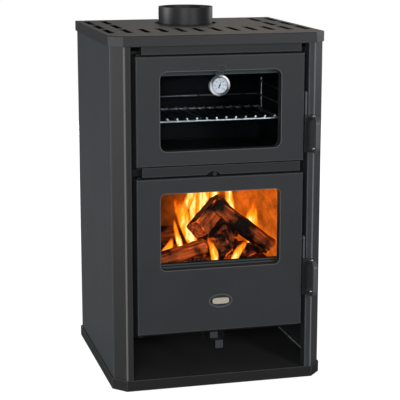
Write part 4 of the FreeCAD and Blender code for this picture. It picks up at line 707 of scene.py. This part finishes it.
def let_lamps_through(material, shader, tint):
    """Lets the light of the lamps pass a clear pane, so that what lies behind it is lit."""
    ray = add_node(material, "LightPath")
    clear = add_node(material, "BsdfTransparent", {"Color": tint})
    pane = add_node(material, "MixShader", {0: ray.outputs["Is Shadow Ray"], 1: shader, 2: clear})
    feed(material.node_tree.nodes["Material Output"], surface=pane)


let_lamps_through(door_glass, shader, "#e6ecee")
coat(door_glass, "oven_door_glass", "fire_door_glass")

# Rope seals on the backs of the doors.
# Braided glass-fibre rope pressed flat: one crossing of two strands, repeated round the loop.
# The 0.1 mm fibres of its dull grey yarn are drawn at 1 mm so that they show.
YARN_SIZE = 0.00111
rope_yarn, shader, place = new_material("glass_fibre_yarn", roughness=0.9, specular_ior_level=0.2)
fibre = add_node(rope_yarn, "TexNoise", {"Vector": place, "Scale": 1 / YARN_SIZE, "Detail": 2.0})
tone = add_node(rope_yarn, "Mix", {0: fibre, 6: "#3b3936", 7: "#6a6762"}, data_type="RGBA")
bump = add_node(rope_yarn, "Bump", {"Height": fibre, "Strength": 0.5, "Distance": 0.0005})
feed(shader, base_color=tone, normal=bump)

ROPE_WIDTH, LOOP_CORNER = 0.010, 0.012
STRAND_LENGTH, STRAND_WIDTH, STRAND_PITCH = 0.0085, 0.0042, 0.0062
STRAND_SLANT, STRAND_OFFSET = 0.55, 0.0022
UPRIGHT = (math.pi / 2, 0, 0)
for kind in ("oven", "fire"):
    low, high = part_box(f"{kind}_door_seal")
    middle = (low + high) / 2
    pick()
    bpy.ops.mesh.primitive_plane_add(size=1, location=middle, rotation=UPRIGHT)
    loop = bpy.context.object
    loop.scale = (high.x - low.x - ROPE_WIDTH, high.z - low.z - ROPE_WIDTH, 1)
    bpy.ops.object.transform_apply(location=False, rotation=False, scale=True)
    edit_whole_mesh()
    bpy.ops.mesh.delete(type="ONLY_FACE")
    bpy.ops.mesh.select_all(action="SELECT")
    bpy.ops.mesh.bevel(offset=LOOP_CORNER, segments=6, affect="VERTICES")
    bpy.ops.object.mode_set(mode="OBJECT")
    bpy.ops.object.convert(target="CURVE")
    loop = bpy.context.object
    loop.data.dimensions = "2D"
    pick()
    bpy.ops.mesh.primitive_uv_sphere_add(
        segments=8, ring_count=6, radius=0.5, location=middle, rotation=UPRIGHT)
    strand = bpy.context.object
    edit_whole_mesh()
    bpy.ops.transform.resize(value=(STRAND_LENGTH, high.y - low.y, STRAND_WIDTH), center_override=middle)
    bpy.ops.object.mode_set(mode="OBJECT")
    for v in strand.data.vertices:
        v.co.y += v.co.x * STRAND_SLANT
    use_modifier(strand, "MIRROR", use_axis=(False, True, False), use_mirror_merge=False)
    half = len(strand.data.vertices) // 2
    for v in strand.data.vertices:
        v.co.y += STRAND_OFFSET if v.index < half else -STRAND_OFFSET
    use_modifier(strand, "ARRAY", fit_type="FIT_CURVE", curve=loop, use_relative_offset=False,
                 use_constant_offset=True, constant_offset_displace=(STRAND_PITCH, 0, 0))
    use_modifier(strand, "CURVE", object=loop, deform_axis="POS_X")
    bpy.data.objects.remove(loop)
    pick(strand)
    bpy.ops.object.shade_smooth()
    settle(strand, f"{kind}_door_rope", rope_yarn, f"{kind}_door")
    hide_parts(f"{kind}_door_seal")

# Latch levers and handle bows with their bright ferrules, pins and bolts.
# Levers and bows are steel in satin black and grey enamel; the ferrules are turned and plated.
# Each lever is rubbed to a dull grey above its handle.
SCUFF_SIZE, RUBBED_FROM, RUBBED_TO = 0.00833, 0.002, 0.004
for kind in ("oven", "fire"):
    grip_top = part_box(f"{kind}_handle_bow")[1].z
    lever_paint, shader, place = new_material(f"satin_black_{kind}_lever", roughness=0.45,
                                              specular_ior_level=0.3)
    axes = add_node(lever_paint, "SeparateXYZ", {"Vector": place})
    scuffs = add_node(lever_paint, "TexNoise", {"Vector": place, "Scale": 1 / SCUFF_SIZE, "Detail": 3.0})
    paint = add_node(lever_paint, "Mix", {0: scuffs, 6: "#17181a", 7: "#222426"}, data_type="RGBA")
    bare = add_node(lever_paint, "MapRange",
                    {"Value": axes.outputs["Z"], "From Min": grip_top + RUBBED_FROM,
                     "From Max": grip_top + RUBBED_TO})
    tone = add_node(lever_paint, "Mix", {0: bare, 6: paint, 7: "#505355"}, data_type="RGBA")
    feed(shader, base_color=tone)
    coat(lever_paint, f"{kind}_latch_lever")
coat(stove_enamel("grey_handle_enamel", "#4a4c4e", "#56585a", roughness=0.4, specular=0.4),
     "oven_handle_bow", "fire_handle_bow")
coat(plated_metal("turned_nickel", "#8a8c8e", "#d6d8da", roughness=0.25, mark_size=0.003),
     "oven_handle_ferrules", "fire_handle_ferrules")
coat(plated_metal("blackened_pin_steel", "#232527", "#3a3c3e", roughness=0.4, mark_size=0.003),
     "hinge_pins", "oven_latch_pivot", "fire_latch_pivot")

# Thermometer in the oven window: spun chrome case on a black strap, white dial, black needle, clear lens.
# Spinning leaves fine rings in the case; the two opposite fans of light they throw back are painted into its
# colour as painted highlight, from grey to white.
FAN_COUNT, FAN_TURN = 2.0, -0.35
case_low, case_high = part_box("thermometer_case")
case_middle = (case_low + case_high) / 2
spun_chrome, shader, place = new_material("spun_chrome", metallic=0.45, roughness=0.25)
centred = add_node(spun_chrome, "VectorMath", {0: place, 1: case_middle}, operation="SUBTRACT")
axes = add_node(spun_chrome, "SeparateXYZ", {"Vector": centred})
bearing = add_node(spun_chrome, "Math", {0: axes.outputs["X"], 1: axes.outputs["Z"]}, operation="ARCTAN2")
turned = add_node(spun_chrome, "Math", {0: bearing, 1: FAN_COUNT, 2: FAN_TURN}, operation="MULTIPLY_ADD")
wave = add_node(spun_chrome, "Math", {0: turned}, operation="SINE")
painted_highlight_fans = add_node(spun_chrome, "MapRange", {"Value": wave, "From Min": -0.6, "From Max": 0.9})
tone = add_node(spun_chrome, "Mix", {0: painted_highlight_fans, 6: "#54585b", 7: "#ffffff"}, data_type="RGBA")
feed(shader, base_color=tone)
coat(spun_chrome, "thermometer_case")
coat(stove_enamel("black_strap_paint", "#1c1e20", "#2a2c2f", roughness=0.45, specular=0.3, painted_fold_share=0.2),
     "thermometer_bracket")
coat(stove_enamel("black_needle_paint", "#070707", "#0f0f0f", roughness=0.5, specular=0.3),
     "thermometer_needle")
coat(stove_enamel("white_dial_enamel", "#c9d3e0", "#d6deea", roughness=0.5), "thermometer_dial")
LENS_SMEAR = 0.01667
lens_glass, shader, place = new_material("clear_dial_lens", transmission_weight=1.0, ior=PANE_INDEX)
smear = add_node(lens_glass, "TexNoise", {"Vector": place, "Scale": 1 / LENS_SMEAR})
haze = add_node(lens_glass, "MapRange", {"Value": smear, "To Max": 0.04})
feed(shader, roughness=haze)
let_lamps_through(lens_glass, shader, "#f4f6f6")
coat(lens_glass, "thermometer_lens")

# Painted shade between the bezel and the lens.
# A thin black ring, pressed flat, that lies round the rim of the lens in place of the shadow gap there.
SHADOW_RING_WIDTH, SHADOW_RING_FLATNESS = 0.0016, 0.4
shadow_ring_paint = stove_enamel("black_shadow_ring", "#0b0b0c", "#161617", roughness=0.75)
lens_low, lens_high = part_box("thermometer_lens")
lens_middle = (lens_low + lens_high) / 2
pick()
bpy.ops.mesh.primitive_torus_add(
    major_radius=(lens_high.x - lens_low.x) / 2 - SHADOW_RING_WIDTH / 4, minor_radius=SHADOW_RING_WIDTH / 2,
    major_segments=64, minor_segments=10,
    location=(lens_middle.x, lens_low.y, lens_middle.z), rotation=UPRIGHT)
shadow_ring = bpy.context.object
shadow_ring.scale = (1, 1, SHADOW_RING_FLATNESS)
settle(shadow_ring, "lens_shadow_ring", shadow_ring_paint, "oven_door")

# Printed scale of the dial: a mark every 10 degrees, a longer one every 50, and plain numbers.
# The ink is a thin raised print on the enamel.
MARK_STEP, LONG_STEP, SCALE_TOP, SWEEP = 10, 50, 300, math.radians(135)
LONG_MARK, SHORT_MARK = (0.0008, 0.0030, 1), (0.0005, 0.0018, 1)
MARK_RADIUS, NUMBER_RADIUS, NUMBER_HEIGHT, PRINT_LIFT = 0.0176, 0.0126, 0.0050, 0.00008
dial_ink = stove_enamel("black_dial_ink", "#151a22", "#232a34", roughness=0.6)
dial_low, dial_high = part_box("thermometer_dial")
dial_middle = (dial_low + dial_high) / 2


def scale_angle(degrees):
    """The turn of the needle from upright at this temperature."""
    return -SWEEP + 2 * SWEEP * degrees / SCALE_TOP


def on_dial(radius, angle):
    """A place just before the dial's face, at this distance and turn from its middle."""
    return (dial_middle.x + radius * math.sin(angle), dial_low.y - PRINT_LIFT,
            dial_middle.z + radius * math.cos(angle))


prints = []
for degrees in range(0, SCALE_TOP + 1, MARK_STEP):
    angle = scale_angle(degrees)
    pick()
    bpy.ops.mesh.primitive_plane_add(
        size=1, location=on_dial(MARK_RADIUS, angle), rotation=(math.pi / 2, angle, 0))
    mark = bpy.context.object
    mark.scale = SHORT_MARK if degrees % LONG_STEP else LONG_MARK
    prints.append(mark)
for degrees in range(0, SCALE_TOP + 1, LONG_STEP):
    pick()
    bpy.ops.object.text_add(location=on_dial(NUMBER_RADIUS, scale_angle(degrees)), rotation=UPRIGHT)
    number = bpy.context.object
    number.data.body = str(degrees)
    number.data.size = NUMBER_HEIGHT
    number.data.align_x = "CENTER"
    number.data.align_y = "CENTER"
    bpy.ops.object.convert(target="MESH")
    prints.append(bpy.context.object)
settle(joined(prints), "dial_print", dial_ink, "oven_door")

# Plain oval plate on the fire door, stamped from sheet aluminium.
# Its rim is dark, as painted shade for the recess round the plate; a rounded rectangle is left bare and
# brushed to a warm silver.
# The 0.1 mm brush lines are drawn at 1 mm so that they show.
BARE_WIDTH, BARE_HEIGHT = 0.86, 0.82
BRUSH_LENGTH, BRUSH_DEPTH, BRUSH_SPACING = 0.01667, 1.0, 0.00111
badge_low, badge_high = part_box("badge_plate")
badge_middle, badge_half = (badge_low + badge_high) / 2, (badge_high - badge_low) / 2
badge_metal, shader, place = new_material("brushed_aluminium_plate", metallic=0.6, roughness=0.4)
centred = add_node(badge_metal, "Mapping",
                   {"Vector": place, "Location": badge_middle, "Scale": (badge_half.x, 1.0, badge_half.z)},
                   vector_type="TEXTURE")
brushing_map = add_node(badge_metal, "Mapping",
                        {"Vector": place, "Scale": (1 / BRUSH_LENGTH, 1 / BRUSH_DEPTH, 1 / BRUSH_SPACING)})
brushing = add_node(badge_metal, "TexNoise", {"Vector": brushing_map, "Scale": 1.0, "Detail": 2.0})
metal = add_node(badge_metal, "Mix", {0: brushing, 6: "#b9b2a0", 7: "#efe8d6"}, data_type="RGBA")
squared = add_node(badge_metal, "VectorMath", {0: centred, 1: centred}, operation="MULTIPLY")
fourth = add_node(badge_metal, "VectorMath", {0: squared, 1: squared}, operation="MULTIPLY")
outwards = add_node(badge_metal, "VectorMath",
                    {0: fourth, 1: (BARE_WIDTH ** -4, 0.0, BARE_HEIGHT ** -4)}, operation="DOT_PRODUCT")
recess_shade = add_node(badge_metal, "MapRange", {"Value": outwards, "From Min": 0.9, "From Max": 1.1})
tone = add_node(badge_metal, "Mix", {0: recess_shade, 6: metal, 7: "#1e1f20"}, data_type="RGBA")
feed(shader, base_color=tone)
coat(badge_metal, "badge_plate")

# Studio: a plain white floor and soft light from the left, from the front and from behind.
# Floor and background are shown as clean white, but throw back only part of the light.
SHOWN_WHITE, MOTTLE_SIZE = 0.93, 2.5
FLOOR_SIZE, FLOOR_DROP = 80, 0.0006
floor_paint, shader, place = new_material("pale_studio_floor", roughness=0.9, specular_ior_level=0.1,
                                          emission_color=linear("#ffffff"))
mottle = add_node(floor_paint, "TexNoise", {"Vector": place, "Scale": 1 / MOTTLE_SIZE})
tone = add_node(floor_paint, "Mix", {0: mottle, 6: "#8e8e8e", 7: "#969696"}, data_type="RGBA")
seen = add_node(floor_paint, "LightPath")
clean = add_node(floor_paint, "Math",
                 {0: seen.outputs["Is Camera Ray"], 1: SHOWN_WHITE}, operation="MULTIPLY")
feed(shader, base_color=tone, emission_strength=clean)
pick()
bpy.ops.mesh.primitive_plane_add(size=FLOOR_SIZE, location=(0, 0, -FLOOR_DROP))
studio_floor = bpy.context.object
studio_floor.name = "studio_floor"
studio_floor.data.materials.append(floor_paint)

ROOM_LIGHT, ROOM_WHITE = 0.24, 1.0
world = bpy.data.worlds.new("soft_studio")
bpy.context.scene.world = world
world.use_nodes = True
background = world.node_tree.nodes["Background"]
background.inputs["Color"].default_value = linear("#ffffff")
seen = add_node(world, "LightPath")
level = add_node(world, "MapRange",
                 {"Value": seen.outputs["Is Camera Ray"], "To Min": ROOM_LIGHT, "To Max": ROOM_WHITE})
feed(background, strength=level)

STOVE_MIDDLE = Vector((0, 0, 0.45))


def soft_box(name, place, size, power):
    """A square soft light that faces the middle of the stove."""
    pick()
    bpy.ops.object.light_add(type="AREA", location=place)
    lamp = bpy.context.object
    lamp.name = name
    lamp.data.size = size
    lamp.data.energy = power
    lamp.rotation_euler = (STOVE_MIDDLE - Vector(place)).to_track_quat("-Z", "Y").to_euler()
    return lamp


# The left lamp stands low, so that the lid doesn't throw its light towards the right.
soft_box("soft_box_left", place=(-4.8, 0.9, 0.7), size=1.5, power=136)
soft_box("soft_box_front", place=(-1.6, -4.8, 1.4), size=1.8, power=90)
soft_box("soft_box_front_right", place=(1.9, -4.7, 1.5), size=1.0, power=62)
soft_box("soft_box_back", place=(0.7, 4.4, 0.5), size=0.8, power=45)
soft_box("soft_box_back_right", place=(4.0, 2.4, 1.4), size=1.8, power=40)
rear_lamp = soft_box("soft_box_rear", place=(1.4, 2.6, 3.4), size=2.5, power=22)
rear_lamp.data.color = linear("#ffeede")[:3]

# Light of the fire itself: two small warm glows among the flames.
# They light logs, bricks and door frame from inside, and are themselves not seen in the glass.
GLOW_SIZE = 0.05
for count, (place, power) in enumerate((((-0.065, -0.19, 0.395), 0.42), ((0.10, -0.17, 0.50), 0.40))):
    pick()
    bpy.ops.object.light_add(type="POINT", location=place)
    lamp = bpy.context.object
    lamp.name = f"fire_glow_{count}"
    lamp.data.energy = power
    lamp.data.color = linear("#ffac5c")[:3]
    lamp.data.shadow_soft_size = GLOW_SIZE
    lamp.visible_transmission = False
    lamp.visible_glossy = False

# Camera: a long lens, off to the left of the stove's front and a little above its lid, tilted down.
# Place, turn and lens are fitted to the corners of the casing.
CAMERA_PLACE = (-0.9239, -3.6046, 1.2286)
CAMERA_YAW, CAMERA_PITCH = 0.2538, 0.2076
SENSOR_WIDTH, LENS_LENGTH = 36, 123.75
pick()
bpy.ops.object.camera_add(location=CAMERA_PLACE, rotation=(math.pi / 2 - CAMERA_PITCH, 0, -CAMERA_YAW))
camera = bpy.context.object
camera.data.sensor_width = SENSOR_WIDTH
camera.data.lens = LENS_LENGTH
bpy.context.scene.camera = camera
bpy.context.scene.view_settings.view_transform = "Standard"
